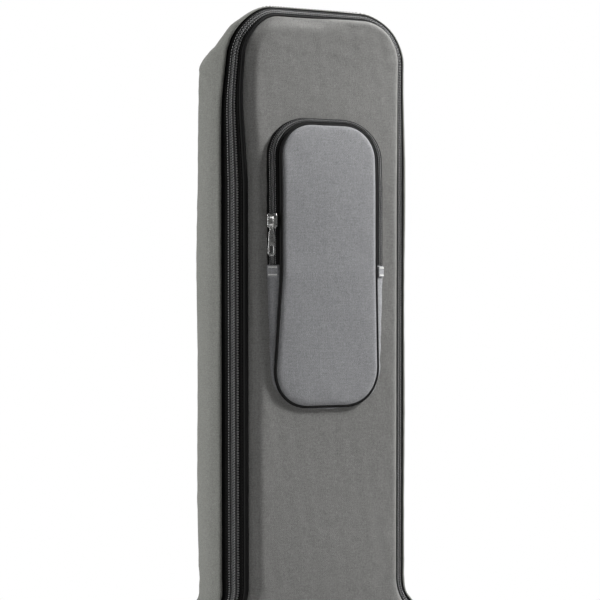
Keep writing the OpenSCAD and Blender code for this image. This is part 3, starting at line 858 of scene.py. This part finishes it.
def ribbon(points, width_dir, width, thickness, sides=16):
    """Verts and faces of a flat strap that follows points, its width along width_dir."""
    pts = np.asarray(points, float)
    t = np.gradient(pts, axis=0)
    t /= np.linalg.norm(t, axis=1, keepdims=True)
    w = np.broadcast_to(np.asarray(width_dir, float), t.shape)
    w = w - (w * t).sum(1, keepdims=True) * t
    w /= np.linalg.norm(w, axis=1, keepdims=True)
    n = np.cross(t, w)
    a = round_angles(sides) + math.pi / sides
    across = squarish(np.cos(a), 0.25) * width / 2
    up = squarish(np.sin(a), 0.55) * thickness / 2
    v = pts[:, None] + across[None, :, None] * w[:, None] + up[None, :, None] * n[:, None]
    return v, grid_faces(len(pts), sides, False, True)[:, ::-1].tolist() + end_faces(len(pts), sides)


def sewn(lines, pitch=3.0, width=0.7, height=0.0):
    """Stitches along 2D lines in the XY plane, a little way above it."""
    centres, along = [], []
    for line in lines:
        for a, b in zip(line[:-1], line[1:]):
            a, b = np.array(a, float), np.array(b, float)
            run = np.linalg.norm(b - a)
            count = max(1, round(run / pitch))
            for k in range(count):
                q = a + (b - a) * (k + 0.5) / count
                centres.append((*q, height))
                along.append((*(b - a) / run, 0))
    along = np.array(along)
    across = np.stack([-along[:, 1], along[:, 0], 0 * along[:, 0]], -1)
    return pellets(np.array(centres), along, across, pitch * 0.72, width, 0.5)


def box_cross(w, h, cx=0.0, cy=0.0):
    x, y = w / 2, h / 2
    ring = [(cx - x, cy - y), (cx + x, cy - y), (cx + x, cy + y), (cx - x, cy + y), (cx - x, cy - y)]
    return [ring, [ring[0], ring[2]], [ring[1], ring[3]]]


# ---------------------------------------------------------------- sliders


def slider_body():
    """Coil slider: waisted top plate, folded flanges over the coil and an arched bridge."""
    edge = [(2.4, -7), (3.4, -6.4), (4.0, -4), (4.3, 0), (4.5, 4), (4.2, 6.2), (3.2, 7), (0.5, 5.9)]
    parts = [plate([edge + [(-x, y) for x, y in reversed(edge)]], 2.3, 3.3, 0.28)]
    for side in (-1, 1):
        flange = [(4.1, -5.4), (4.5, -5.0), (4.55, 5.6), (4.1, 6.2), (3.7, 5.6), (3.7, -5.0)]
        parts.append(plate([[(side * x, y) for x, y in flange[::side]]], 0.35, 2.8, 0.15))
    arch = [(-5.0, 3.0), (-4.9, 5.2), (-4.1, 6.9), (-2.6, 7.5), (-0.6, 7.3), (1.8, 6.3), (3.6, 4.9),
            (4.4, 3.0)]
    parts.append(ribbon(smooth_line([(0, y, z) for y, z in arch], 4), (1, 0, 0), 3.2, 0.95, 12))
    return merged(parts)


def slider_pull():
    """Long tongue with an oval hole in its wide end, hooked on the bridge."""
    right = [(1.35, -2.0), (1.5, -8.0), (2.3, -10.5), (2.7, -14), (2.9, -20), (3.35, -26)]
    end = [(3.5 * math.cos(a), -29.5 + 3.5 * math.sin(a)) for a in np.linspace(-0.1, -math.pi + 0.1, 16)]
    outline = right + end + [(-x, y) for x, y in reversed(right)]
    holes = [capsule(0, -29.4, -24.6, 1.6), [(-x * 0.9, y) for x, y in capsule(0, -6.6, -3.4, 0.62)]]
    blade = plate([outline[::-1], *holes], 4.95, 6.45, 0.35)
    axle = [(x, -2, 5.7) for x in (-1.4, -0.7, 0, 0.7, 1.4)]
    hub = tube(axle, (1.7, 1.95, 1.95, 1.95, 1.7), 14, (0, 0, 1))
    return merged([blade, hub])


def metal_slider(slider, pull, name, nodes, matrix):
    """A slider and its pull, each on its own body."""
    for part, mesh, body, node in (("shell", slider_body(), slider, nodes[0]),
                                   ("tongue", slider_pull(), pull, nodes[1])):
        crisp_piece(f"{name}_{part}", moved(mesh, matrix), NICKEL, 35, body=body, replaces=(node,))


LOWER_LEFT = 13
ARC_R = SEAM_CORNERS[0][2]
arc_first = seam.marks[LOWER_LEFT]
ARC_CENTRE = seam.p[arc_first] - ARC_R * seam.n[arc_first]
slider_at = band_at(11.6, 2.0)
for name, angle, flip in (("upper", 22.0, -1), ("lower", 29.5, 1)):
    where = (turned(ARC_CENTRE[0], 0, ARC_CENTRE[1], ry=-angle)
             @ turned(-ARC_R - slider_at[0], slider_at[1], 0,
                      rz=math.degrees(math.atan2(*SLOPE)) - 90)
             @ turned(rx=90) @ Matrix.Diagonal((1, flip, 1, 1)))
    metal_slider(f"{name}_slider", f"{name}_pull", f"{name}_slider",
                 (f"{name}_slider", f"{name}_slider_pull"), where)

# ---------------------------------------------------------------- pockets


def side_runs(path, z):
    """The part of a pocket outline above z, from right to left, and the rest from left to right."""
    p, n = path.p, path.n
    half = p[:, 0].max()
    above = np.flatnonzero(p[:, 1] > z)
    k0, k1 = above[0], above[-1] + 1
    right, left = ((half, z), (1, 0)), ((-half, z), (-1, 0))
    upper = Path([right[0], *p[k0:k1], left[0]], [right[1], *n[k0:k1], left[1]], False, True)
    lower = Path([left[0], *p[k1:], *p[:k0], right[0]], [left[1], *n[k1:], *n[:k0], right[1]], False, True)
    return upper, lower


PANEL_Y = -42.0
WALL_WIDTH = 13.0
CORD_R = 1.9
FACE_DRAW = 6
FOOT_DRAW = 5


def pocket_edge(d):
    """How far the padded face stands out at a distance from its edge."""
    return crown(d, 1.9, 4.5, 1.5, 28)


class Pocket:
    """Raised pocket: a zipped upper part that folds down, and a lower part sewn to the lid.

    Below the zipper the pocket grows thinner by the share flatten, and its face spreads over its wall.
    """

    def __init__(self, key, half_w, z0, z1, r, depth, fold_z, flatten):
        self.key = key
        self.half_w = half_w
        self.z0 = z0
        self.foot = z0 + r + 20
        self.depth = depth
        self.fold_z = fold_z
        self.flatten = flatten
        self.face_y = PANEL_Y - depth
        self.band = (0.0, self.face_y + 1), (WALL_WIDTH, depth - 1.9)
        self.run = math.hypot(*self.band[1])
        self.coil_t = self.run * 0.52
        self.ring = rounded_rectangle(half_w, z0, z1, r)
        self.upper, self.lower = side_runs(self.ring, fold_z)
        self.flap = f"{key}_flap"
        self.seed = int(half_w)

    def flattened(self, v):
        x, y, z = np.moveaxis(np.asarray(v, float), -1, 0)
        share = np.clip((self.fold_z - 8 - z) / (self.fold_z - 8 - self.z0), 0, 1)
        front = np.clip((PANEL_Y - y) / self.depth, 0, 1)
        spread = share * (FACE_DRAW * front - FOOT_DRAW * (1 - front)) * (self.flatten > 0)
        bottom = 1 - ramp(z, self.z0, self.foot)
        back = self.flatten * share * np.clip(PANEL_Y - 0.5 - y, 0, self.depth - 1.5)
        return np.stack([x + spread * np.clip(x / self.half_w, -1, 1), y + back, z - spread * bottom], -1)

    def face_shape(self, x, z, d):
        p = np.stack([x, z], -1)
        rise = pocket_edge(d) + 0.35 * wobble(p, 70, self.seed) * np.minimum(d / 20, 1)
        return rise + 0.22 * wobble(p, 16, self.seed + 1) * np.exp(-d / 12) * np.minimum(d / 3, 1)

    def blend(self, ob):
        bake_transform(ob)

    def cover(self):
        face = crowned(f"{self.key}_pocket_cover", self.ring, -1.0, self.face_y + 1.2, -1, self.face_shape,
                       POCKET_GREY, 1.1, replaces=(f"{self.key}_pocket_face", f"{self.key}_flap_face"))
        settle(face)
        for vertex in face.data.vertices:
            vertex.co = Vector(self.flattened(np.array(vertex.co) / MM) * MM)
        self.blend(face)

    def edging(self):
        """Piping cord at the wall's edge, and the binding on the face beside it."""
        nodes = (f"{self.key}_pocket_piping", f"{self.key}_flap_piping")
        over = [(-1.0 - d, self.face_y + 0.4 - pocket_edge(np.array(d))) for d in (0.3, 1.4, 2.6, 3.8, 5.2)]
        under = [(o, y + 0.9) for o, y in reversed(over)]
        cord = circle_section(self.band[0], CORD_R)
        for label, section, material, replaced in (("cord", cord, PIPING, nodes),
                                                   ("binding", over + under, BINDING, ())):
            grid = self.flattened(outward(carried(self.ring, section), True))
            self.blend(swept(f"{self.key}_pocket_{label}", grid, True, material, replaces=replaced))

    def wall(self):
        """Lower wall, between the lid and the face."""
        run = self.run
        v = carried(self.lower, smooth_line([band_at(t, h, *self.band) for t, h in (
            (1.2, -0.2), (run * 0.3, 0.75), (run * 0.55, 1.0), (run * 0.8, 0.7), (run - 0.6, -0.1),
            (run + 0.6, -0.2))], 3))
        n = grid_normals(v, False, False)
        flip = (n[:, 3, 1]).sum() > 0
        n = -n if flip else n
        flat = unrolled(self.lower, np.linspace(0, run, v.shape[1]))
        hold = np.sin(np.linspace(0, math.pi, v.shape[1])) ** 0.6
        v = self.flattened(v + n * (0.5 * wobble(flat * (1, 0.4), 12, self.seed + 2) * hold)[..., None])
        faces = grid_faces(*v.shape[:2])
        cloth = piece(f"{self.key}_pocket_wall", v, faces[:, ::-1] if flip else faces, POCKET_GREY,
                      body="lid", replaces=(f"{self.key}_pocket_gusset",))
        thicken(cloth, 0.9)

    def zipper(self):
        """Both tapes, both halves of the coil and the thread that runs along each half."""
        key, mid = self.key, self.coil_t
        for half, t0, t1, body in (("upper", 1.4, mid - 0.2, self.flap),
                                   ("lower", mid + 0.5, self.run + 0.6, "lid")):
            section = strip(*self.band, t0, t1, -0.6, 0.15)
            band_piece(f"{key}_pocket_{half}_tape", self.upper, section, TAPE, body=body)
        for t0, t1, body, node, inner, phase in (
                (mid - 3.0, mid + 0.45, self.flap, f"{key}_flap_zip", True, 0.0),
                (mid - 0.15, mid + 3.3, "lid", f"{key}_pocket_base_zip", False, 0.5)):
            loops = coil_half(self.upper, *self.band, t0, t1, 1.5, 1.7, 0.75, phase, inner)
            piece(f"{node}_coil", *loops, COIL, body=body, replaces=(node,))
        for t, body, label in ((mid - 1.5, self.flap, "flap"), (mid + 1.9, "lid", "wall")):
            section = circle_section(band_at(t, 1.45, *self.band), 0.55, 6)
            band_piece(f"{key}_pocket_{label}_coil_seam", self.upper, section, BLACK_THREAD, body=body)

    def on_side(self, side, h, z):
        """A placement over the coil on the right (1) or left (-1) wall, h above the tape."""
        origin, slope = self.band
        u, n = band_axes(slope)
        angle = math.degrees(math.atan2(*slope))
        return (turned(side * (self.half_w + self.coil_t * u[0] + h * n[0]),
                       origin[1] + self.coil_t * u[1] + h * n[1], z, rz=side * (90 - angle))
                @ turned(rx=90))

    def end_tabs(self):
        tabs, tacks = [], []
        for side in (-1, 1):
            where = self.on_side(side, 0.8, self.fold_z - 6.2)
            tabs.append(moved(plate([rounded_box(10, 10.6, 0.8, 0, 0.3)], -0.2, 1.3, 0.5), where))
            rows = [[(-4.3, y), (4.3, y)] for y in (4.3, 3.7, -2.8, -3.4)]
            tacks.append(moved(sewn(rows, 0.8, 0.8, 1.5), where))
        crisp_piece(f"{self.key}_pocket_end_tab_cloth", merged(tabs), POCKET_GREY, body="lid",
                    replaces=(f"{self.key}_pocket_end_tabs",))
        piece(f"{self.key}_pocket_bar_tacks", *merged(tacks), WHITE_THREAD, body="lid")


for key, size, flatten, slider_z in (("head", (49.5, 665, 926, 32, 11.0, 793), 0.72, 834),
                                     ("body", (102, 82, 292, 42, 22.0, 176), 0.0, 217)):
    pocket = Pocket(key, *size, flatten)
    pocket.cover()
    pocket.edging()
    pocket.wall()
    pocket.zipper()
    pocket.end_tabs()
    metal_slider(f"{key}_slider", f"{key}_pull", f"{key}_slider",
                 (f"{key}_pocket_slider", f"{key}_pocket_pull"), pocket.on_side(-1, 1.4, slider_z))

# ---------------------------------------------------------------- hinge strip and zipper ends

hinge_line = [band_at(1.2, 0.3), *(band_at(t, 0.9 + 0.5 * math.sin(t)) for t in (4, 8, 12, 16, 20)),
              band_at(25.5, 0.4), *(band_at(t, -0.5) for t in (25.5, 12, 1.2))]
strip_cover = band_piece("hinge_webbing", hinge_path, hinge_line, WEBBING, replaces=("hinge_strip",))
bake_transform(strip_cover)
for t, body in ((3.4, "lid"), (BAND_WIDTH - 1.6, "base"), (BAND_WIDTH - 3.2, "base")):
    rows = stitch_row(hinge_path, *band_at(t, 1.5), 3.0, width=0.6)
    piece(f"hinge_stitches_{t:.0f}", *rows, BLACK_THREAD, body=body)

tabs, tacks = [], []
for end, run in ((0.0, 1), (hinge_path.s[-1], -1)):
    s = np.linspace(0.3, 12, 8) * run + end
    held = np.clip(s, 0, hinge_path.s[-1])
    p, n = hinge_path.at(held)
    along = np.stack([-n[:, 1], n[:, 0]], -1)
    line = Path((p + along * (s - held)[:, None])[::run], n[::run], False)
    section = strip(ORIGIN, SLOPE, 8.6, 19.5, 1.2, 2.5)
    section = smooth_line([*section, section[0]], 4)[:-1]
    g = outward(carried(line, section), False)
    tabs.append((g, capped(g.shape[:2], False)))
    for d in (2.5, 9.5):
        m = line.at(np.array([d]))[1][0]
        for t in (10.4, 11.4, 12.4, 13.4, 14.4, 15.4, 16.4, 17.4):
            c = line.place(np.array([d]), *band_at(t, 2.75))
            tacks.append(pellets(c, np.array([[m[0] * 0.6, 0.8, m[1] * 0.6]]), np.array([[-m[1], 0, m[0]]]),
                                 0.9, 0.6, 0.5))
piece("zipper_end_tab_cloth", *merged(tabs), GREY, body="base", replaces=("zip_end_tabs",))
piece("zipper_end_tacks", *merged(tacks), BLACK_THREAD, body="base", slot="grey_fabric")

# ---------------------------------------------------------------- inside

INNER_LINE = smooth_line([
    (13.5, -17.0), (10.5, -11), (9.3, -3), (9.6, 10), (8.4, 22), (4.5, 30.0), (-3.5, 32.2),
], 5)
v = carried(seam, INNER_LINE)
normals = grid_normals(v, True, False)
flat = unrolled(seam, np.linspace(0, GUSSET_SPAN, v.shape[1]))
hold = np.sin(np.linspace(0, math.pi, v.shape[1]))
v = sag(v + normals * (0.35 * wobble(flat, 24, 41) * hold)[..., None])
inner = grid_faces(*v.shape[:2], True, False)
if (normals[:, 6, 0] * seam.n[:, 0]).sum() > 0:
    inner = inner[:, ::-1]
piece("gusset_lining_cover", v, inner, LINING, body="base", replaces=("gusset_lining",))


def lining_shape(x, z, d):
    p = np.stack([x, z], -1)
    return crown(d, 2.0, 6.0, 0.8) + 0.35 * wobble(p, 60, 31) * np.minimum(d / 20, 1)


crowned("back_lining_cover", seam, -3.0, 33.4, -1, lining_shape, LINING, 0.8, body="base",
        replaces=("back_lining",))
crowned("lid_lining_cover", seam, -1.2, Y_SEAM + 2.2, 1, lining_shape, LINING, 0.8, body="lid",
        replaces=("lid_lining",))

rest = [(-62, 31.5), (-62, -6)]
rest += [(30 * math.sin(a), -10 + 30 * math.cos(a)) for a in np.linspace(-1.436, 1.436, 25)]
rest += [(62, -6), (62, 31.5)]
crisp_piece("neck_rest_cover", plate([rest[::-1]], 560, 620, 2.2, 3), LINING, body="base",
            replaces=("neck_rest",))
rows = [moved(sewn([[(-58, 0), (-30, 0)], [(30, 0), (58, 0)]], 3.2, 0.6), turned(0, -6.6, z, rx=90))
        for z in (564, 616)]
piece("neck_rest_stitches", *merged(rows), BLACK_THREAD, body="base", slot="lining")

# ---------------------------------------------------------------- carry handle

HANDLE = turned(178, 12, 298, ry=-9)
FOOT_X = 12.0
REACH = 32.0
arch = [(FOOT_X + 1.2, -70.5), (FOOT_X + 2.6, -69.2), (FOOT_X + 9, -67.4), (FOOT_X + 17, -65.2),
        (FOOT_X + 25, -58), (FOOT_X + 31.5, -48.5), (FOOT_X + REACH + 1.2, -40), (FOOT_X + REACH + 1.2, 0)]
arch = arch + [(x, -z) for x, z in reversed(arch[:-1])]
arch = smooth_line(arch, 5)
strap = ribbon(np.stack([arch[:, 0], 0 * arch[:, 0], arch[:, 1]], -1), (0, 1, 0), 30, 2.2, 20)
piece("handle_strap", *moved(strap, HANDLE), WEBBING, body="handle", replaces=("handle_webbing",))

GRIP_X = 45.2


def placed_shell(grid, matrix):
    """Verts and faces of a closed form, put in place, from an open run of rings."""
    v = outward(grid, False)
    return moved((v, capped(v.shape[:2], False)), matrix)


def grip_rings():
    """Padded wrap: crowned cloth round the webbing."""
    z = np.concatenate([np.linspace(-44, -40, 6), np.linspace(-38, 38, 39), np.linspace(40, 44, 6)])
    end = np.clip((44 - np.abs(z)) / 4, 0, 1)
    full = np.sqrt(np.clip(1 - (1 - end) ** 2, 0, 1)) * 0.55 + 0.45
    a = round_angles(48)
    ex, ey = squarish(np.cos(a), 0.7), squarish(np.sin(a), 0.55)
    x = GRIP_X + 6.2 * full[:, None] * ex[None]
    y = 20.0 * (0.9 + 0.1 * full[:, None]) * ey[None]
    p = np.stack([x, y, np.broadcast_to(z[:, None], x.shape)], -1)
    puff = 0.35 * wobble(p * (1, 1, 0.6), 12, 51) * full[:, None]
    p[..., 0] += puff * ex[None]
    return p


grip = piece("handle_grip_wrap", *placed_shell(grip_rings(), HANDLE), GREY, body="handle",
             replaces=("handle_grip",))
rim = [(GRIP_X, y, z) for y, z in rounded_box(40.6, 88, 5, steps=5)]
rim_cord = tube(rim, 1.5, 8, (1, 0, 0), closed=True)
piece("handle_grip_piping", *moved(rim_cord, HANDLE), PIPING, body="handle")
cloth, thread = [], []
for side in (-1, 1):
    flat = HANDLE @ turned(2.6, 0, side * 70, ry=90)
    cloth.append(moved(plate([rounded_box(34, 40, 3)], 0, 2.4, 0.6), flat))
    cloth.append(moved(plate([rounded_box(6, 6, 2.9)], 2.0, 9.6, 0.5), flat))
    thread.append(moved(sewn(box_cross(27, 33), 2.6, 0.6, 2.6), flat))
crisp_piece("handle_patch_webbing", merged(cloth), WEBBING, body="base", replaces=("handle_patches",))
piece("handle_patch_stitches", *merged(thread), THREAD, body="base", slot="webbing")
ends = []
for side in (-1, 1):
    flat = HANDLE @ turned(FOOT_X + REACH + 7.6, 0, side * 35, ry=90)
    ends.append(moved(sewn([[(0, -16), (0, 16)]], 2.6, 0.6), flat))
piece("handle_grip_stitches", *merged(ends), THREAD, body="handle")

# ---------------------------------------------------------------- shoulder straps

STRAP_TOP = 436.0
STRAP_ROOT = 47.4
BOW = 22.0


def strap_y(z):
    return STRAP_ROOT + BOW * np.sin(np.pi * (STRAP_TOP - np.asarray(z, float)) / 370)


def in_strap(side):
    return turned(side * 62, 0, STRAP_TOP, ry=-side * 7) @ turned(z=-STRAP_TOP)


PAD_HALF = 31.0
PAD_MID = 5.5


def pad_width(z):
    return PAD_HALF * (1 - 0.12 * ramp(z, 300, 196))


def pad_rings():
    """Shoulder pad: a crowned foam strap with a rounded end that narrows a little to its foot."""
    foot = 196 + 12 * (1 - np.cos(np.linspace(0, math.pi / 2, 8)))
    z = np.concatenate([foot, np.linspace(212, 434, 58), [435.8]])
    toe = 0.72 + 0.28 * np.sqrt(np.clip(1 - ((208 - z) / 12) ** 2, 0, 1))
    w = pad_width(z) * np.where(z < 208, toe, 1)
    a = round_angles(56)
    ex, ey = squarish(np.cos(a), 0.6), squarish(np.sin(a), 0.75)
    x = w[:, None] * ex[None]
    thick = 5.4 * np.where(z < 206, 0.5 + 0.5 * np.sqrt(np.clip((z - 196) / 10, 0, 1)), 1)
    y = strap_y(z)[:, None] + PAD_MID + thick[:, None] * ey[None]
    v = np.stack([x, y, np.broadcast_to(z[:, None], x.shape)], -1)
    v[..., 1] += 0.4 * wobble(v * (1, 0, 1), 16, 61) * ey[None]
    return v


def shoulder_pad(label, place):
    """Pad cover with its binding, and the webbing sewn down its middle."""
    pad = piece(f"{label}_shoulder_pad_cover", *placed_shell(pad_rings(), place), GREY, body="base",
                replaces=(f"{label}_shoulder_pad",))
    z = np.linspace(206, 433, 50)
    width = pad_width(z) + 0.2
    toe = ((-22, 197), (-10, 195.9), (0, 195.7), (10, 195.9), (22, 197))
    foot = [(x, strap_y(h) + PAD_MID, h) for x, h in toe]
    rim = ([(-q, strap_y(h) + PAD_MID, h) for q, h in zip(width[::-1], z[::-1])] + foot
           + [(q, strap_y(h) + PAD_MID, h) for q, h in zip(width, z)])
    piece(f"{label}_pad_binding", *moved(tube(rim, 1.7, 8, (0, 1, 0)), place), PIPING, body="base")
    z = np.linspace(199, 434, 60)
    webbing = ribbon(np.stack([0 * z, strap_y(z) + 11.0, z], -1), (1, 0, 0), 25, 1.5)
    piece(f"{label}_pad_webbing", *moved(webbing, place), WEBBING, body="base")
    seams = []
    for x in (-10.5, 10.5):
        z = np.arange(202, 432, 3.0)
        centres = np.stack([0 * z + x, strap_y(z) + 12.0, z], -1)
        across = np.broadcast_to((1.0, 0, 0), centres.shape)
        seams.append(pellets(centres, np.gradient(centres, axis=0), across, 2.1, 0.6, 0.5))
    piece(f"{label}_pad_stitches", *moved(merged(seams), place), THREAD, body="base", slot="webbing")


def off_back(rows):
    """Strap points from rows of height, rise above the bow, and the height where the bow is taken."""
    return [(0, strap_y(bow_z) + rise, z) for z, rise, bow_z in rows]


def strap_webbing(label, place):
    """Lower webbing from its tab round the lock and back down, and the loop that holds the lock."""
    z = np.linspace(66, 170, 30)
    up = np.stack([0 * z, strap_y(z) + 4.0, z], -1)
    lock = off_back([(178, 3.2, 178), (182.5, 3.4, 182.5), (184.4, 6.0, 184.2), (182.4, 8.2, 182),
                     (176, 8.6, 176)])
    z = np.linspace(168, 118, 14)
    tail = np.stack([0 * z, strap_y(z) + 7.6 + 1.4 * ramp(z, 150, 118), z], -1)
    loop = off_back([(203, 3.2, 203), (196, 3.0, 196), (189.5, 2.6, 190), (185.8, 4.4, 186),
                     (187.6, 7.4, 188), (194, 8.6, 194), (203, 8.2, 203)])
    straps = [ribbon(smooth_line([*up[::3], *lock, *tail[::2]], 5), (1, 0, 0), 25, 1.8),
              ribbon(smooth_line(loop, 5), (1, 0, 0), 25, 1.6)]
    piece(f"{label}_strap_webbing_line", *moved(merged(straps), place), WEBBING, body="base",
          replaces=(f"{label}_strap_webbing",))


def ladder_lock(label, place):
    """Adjuster frame with two slots, tilted with the strap."""
    z = 196 - 7.4 - (26 - 7.4) / 2
    tilt = math.degrees(math.atan2(float(strap_y(z + 5) - strap_y(z - 5)), 10))
    where = place @ turned(0, float(strap_y(z)) + 4.2, z, rx=-tilt) @ turned(rx=90)
    slots = [rounded_box(26, 4.2, 1.2, 0, side * 4.4)[::-1] for side in (1, -1)]
    frame_plate = plate([rounded_box(34, 18, 3.2), *slots], -2, 2, 0.7)
    crisp_piece(f"{label}_lock_frame", moved(frame_plate, where), PLASTIC, body="base",
                replaces=(f"{label}_ladder_lock",))


for side, label in ((-1, "left"), (1, "right")):
    shoulder_pad(label, in_strap(side))
    strap_webbing(label, in_strap(side))
    ladder_lock(label, in_strap(side))

BACK_FACE = 44.2
PATCH_TOP = 2.7
SEWN_AT = 2.95
OUTWARD = Matrix.Rotation(math.pi, 4, "Y")
cloth, thread = [], []
for side in (-1, 1):
    flat = in_strap(side) @ turned(0, BACK_FACE, 59, rx=90) @ OUTWARD
    cloth.append(moved(plate([rounded_box(40, 34, 2.5)], 0.1, PATCH_TOP, 0.8), flat))
    thread.append(moved(sewn(box_cross(34, 28), 2.6, 0.6, SEWN_AT), flat))
crisp_piece("strap_tab_cloth", merged(cloth), GREY, body="base", replaces=("strap_tabs",))
piece("strap_tab_stitches", *merged(thread), THREAD, body="base")

YOKE_X = 62
YOKE_R = 34
flat = turned(0, BACK_FACE, STRAP_TOP, rx=90) @ OUTWARD
yoke = [(x + YOKE_R * math.cos(a), YOKE_R * math.sin(a))
        for x, start in ((YOKE_X, -math.pi / 2), (-YOKE_X, math.pi / 2))
        for a in np.linspace(start, start + math.pi, 25)]
crisp_piece("strap_yoke_cloth", moved(plate([yoke], 0.1, PATCH_TOP, 0.9), flat), GREY, body="base",
            replaces=("strap_yoke",))
inset = [(x * 0.955, y * 0.88) for x, y in yoke]
thread = [moved(sewn([inset + inset[:1]], 3.0, 0.6, SEWN_AT), flat)]
for x in (-YOKE_X, YOKE_X):
    thread.append(moved(sewn(box_cross(46, 30, x, 12), 2.8, 0.6, SEWN_AT), flat))
piece("strap_yoke_stitches", *merged(thread), THREAD, body="base")

# ---------------------------------------------------------------- hang loop

PIN_Y, PIN_Z, LOOP_R = 53.0, 1012.0, 4.2
front = [(PIN_Y - LOOP_R, PIN_Z - 2), (PIN_Y - LOOP_R, PIN_Z - 26), (PIN_Y - LOOP_R - 0.1, PIN_Z - 44)]
turn = [(PIN_Y + LOOP_R * math.sin(a), PIN_Z - 52 - LOOP_R * math.cos(a))
        for a in np.linspace(-1.2, 1.2, 7)]
rear = [(PIN_Y + LOOP_R + 0.1, PIN_Z - 44), (PIN_Y + LOOP_R, PIN_Z - 26), (PIN_Y + LOOP_R * 0.9, PIN_Z - 7),
        (PIN_Y + LOOP_R * 0.35, PIN_Z + 1), (PIN_Y - LOOP_R * 0.1, PIN_Z + 3.4)]
line = smooth_line([*front, *turn, *rear], 5)
webbing = ribbon(np.stack([0 * line[:, 0], line[:, 0], line[:, 1]], -1), (1, 0, 0), 25, 2.0, 18)
stub = moved(plate([rounded_box(25, 10.5, 1.2)], -5.2, 5.0, 1.2), turned(0, PIN_Y, PIN_Z + 0.2, rx=90))
crisp_piece("hang_loop_webbing", merged([webbing, stub]), WEBBING, body="hang_loop",
            replaces=("hang_loop",))
flat = turned(0, BACK_FACE, 1010, rx=90) @ OUTWARD
patch = plate([rounded_box(48, 28, 2.5)], 0.1, PATCH_TOP, 0.8)
crisp_piece("hang_loop_patch_cloth", moved(patch, flat), GREY, body="base", replaces=("hang_loop_patch",))
beside = [[(side * 15, -11), (side * 21, -11), (side * 21, 11), (side * 15, 11), (side * 15, -11)]
          for side in (-1, 1)]
piece("hang_loop_stitches", *moved(sewn(beside, 2.6, 0.6, SEWN_AT), flat), THREAD, body="base")

# ---------------------------------------------------------------- bumper

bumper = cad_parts["base_bumper"]
bumper.data.materials.clear()
bumper.data.materials.append(RUBBER)
soften = bumper.modifiers.new("rim", "BEVEL")
soften.width = 0.5 * MM
soften.segments = 2

# ---------------------------------------------------------------- floor, light and camera


def area_light(name, place, aim, size, power):
    light = bpy.data.lights.new(name, "AREA")
    light.shape = "RECTANGLE"
    light.size, light.size_y = size
    light.energy = power
    ob = bpy.data.objects.new(name, light)
    ob.location = place
    ob.rotation_euler = (Vector(aim) - Vector(place)).to_track_quat("-Z", "Y").to_euler()
    bpy.context.scene.collection.objects.link(ob)


scene = bpy.context.scene
world = bpy.data.worlds.new("studio")
world.use_nodes = True
AMBIENT = 0.07
sky = world.node_tree.nodes["Background"]
sky.inputs["Color"].default_value = (1, 1, 1, 1)
# The backdrop looks plain white, and gives only part of that as light.
ray = world.node_tree.nodes.new("ShaderNodeLightPath")
level = world.node_tree.nodes.new("ShaderNodeMapRange")
level.inputs["To Min"].default_value = AMBIENT
level.inputs["To Max"].default_value = 1.0
world.node_tree.links.new(ray.outputs["Is Camera Ray"], level.inputs["Value"])
world.node_tree.links.new(level.outputs[0], sky.inputs["Strength"])
scene.world = world

FLOOR = 2.2
floor_mesh = bpy.data.meshes.new("floor")
corners = [(-FLOOR, -FLOOR, 0), (FLOOR, -FLOOR, 0), (FLOOR, FLOOR, 0), (-FLOOR, FLOOR, 0)]
floor_mesh.from_pydata(corners, [], [(0, 1, 2, 3)])
floor = bpy.data.objects.new("floor", floor_mesh)
scene.collection.objects.link(floor)
pale = Nodes("pale_floor")
pale.bsdf.inputs["Base Color"].default_value = (0.55, 0.55, 0.55, 1)
pale.bsdf.inputs["Roughness"].default_value = 0.9
floor_mesh.materials.append(pale.material)

VIEW = Vector((0.4226, 0.9063, 0))
RIGHT = Vector((0.9063, -0.4226, 0))
UP = Vector((0, 0, 1))
AIM = Vector((0, -0.042, 0.76))
DISTANCE = 1.7
ASIDE = 0.0235
area_light("key", (1.68, -0.72, 2.25), AIM + UP * 0.12, (0.35, 0.6), 104)
area_light("side", (-2.12, 0.72, 1.0), AIM, (0.7, 1.6), 43)
area_light("overhead", (0.4, 0.5, 3.2), (0.2, 0.3, 0), (2.6, 2.6), 70)

cam = bpy.data.cameras.new("camera")
cam.lens = 107.0
cam.sensor_width = 36.0
cam.clip_start = 0.05
cam.clip_end = 20.0
camera = bpy.data.objects.new("camera", cam)
camera.location = AIM - VIEW * DISTANCE - RIGHT * ASIDE
camera.rotation_euler = VIEW.to_track_quat("-Z", "Y").to_euler()
scene.collection.objects.link(camera)
scene.camera = camera
scene.view_settings.view_transform = "Standard"
scene.view_settings.look = "None"
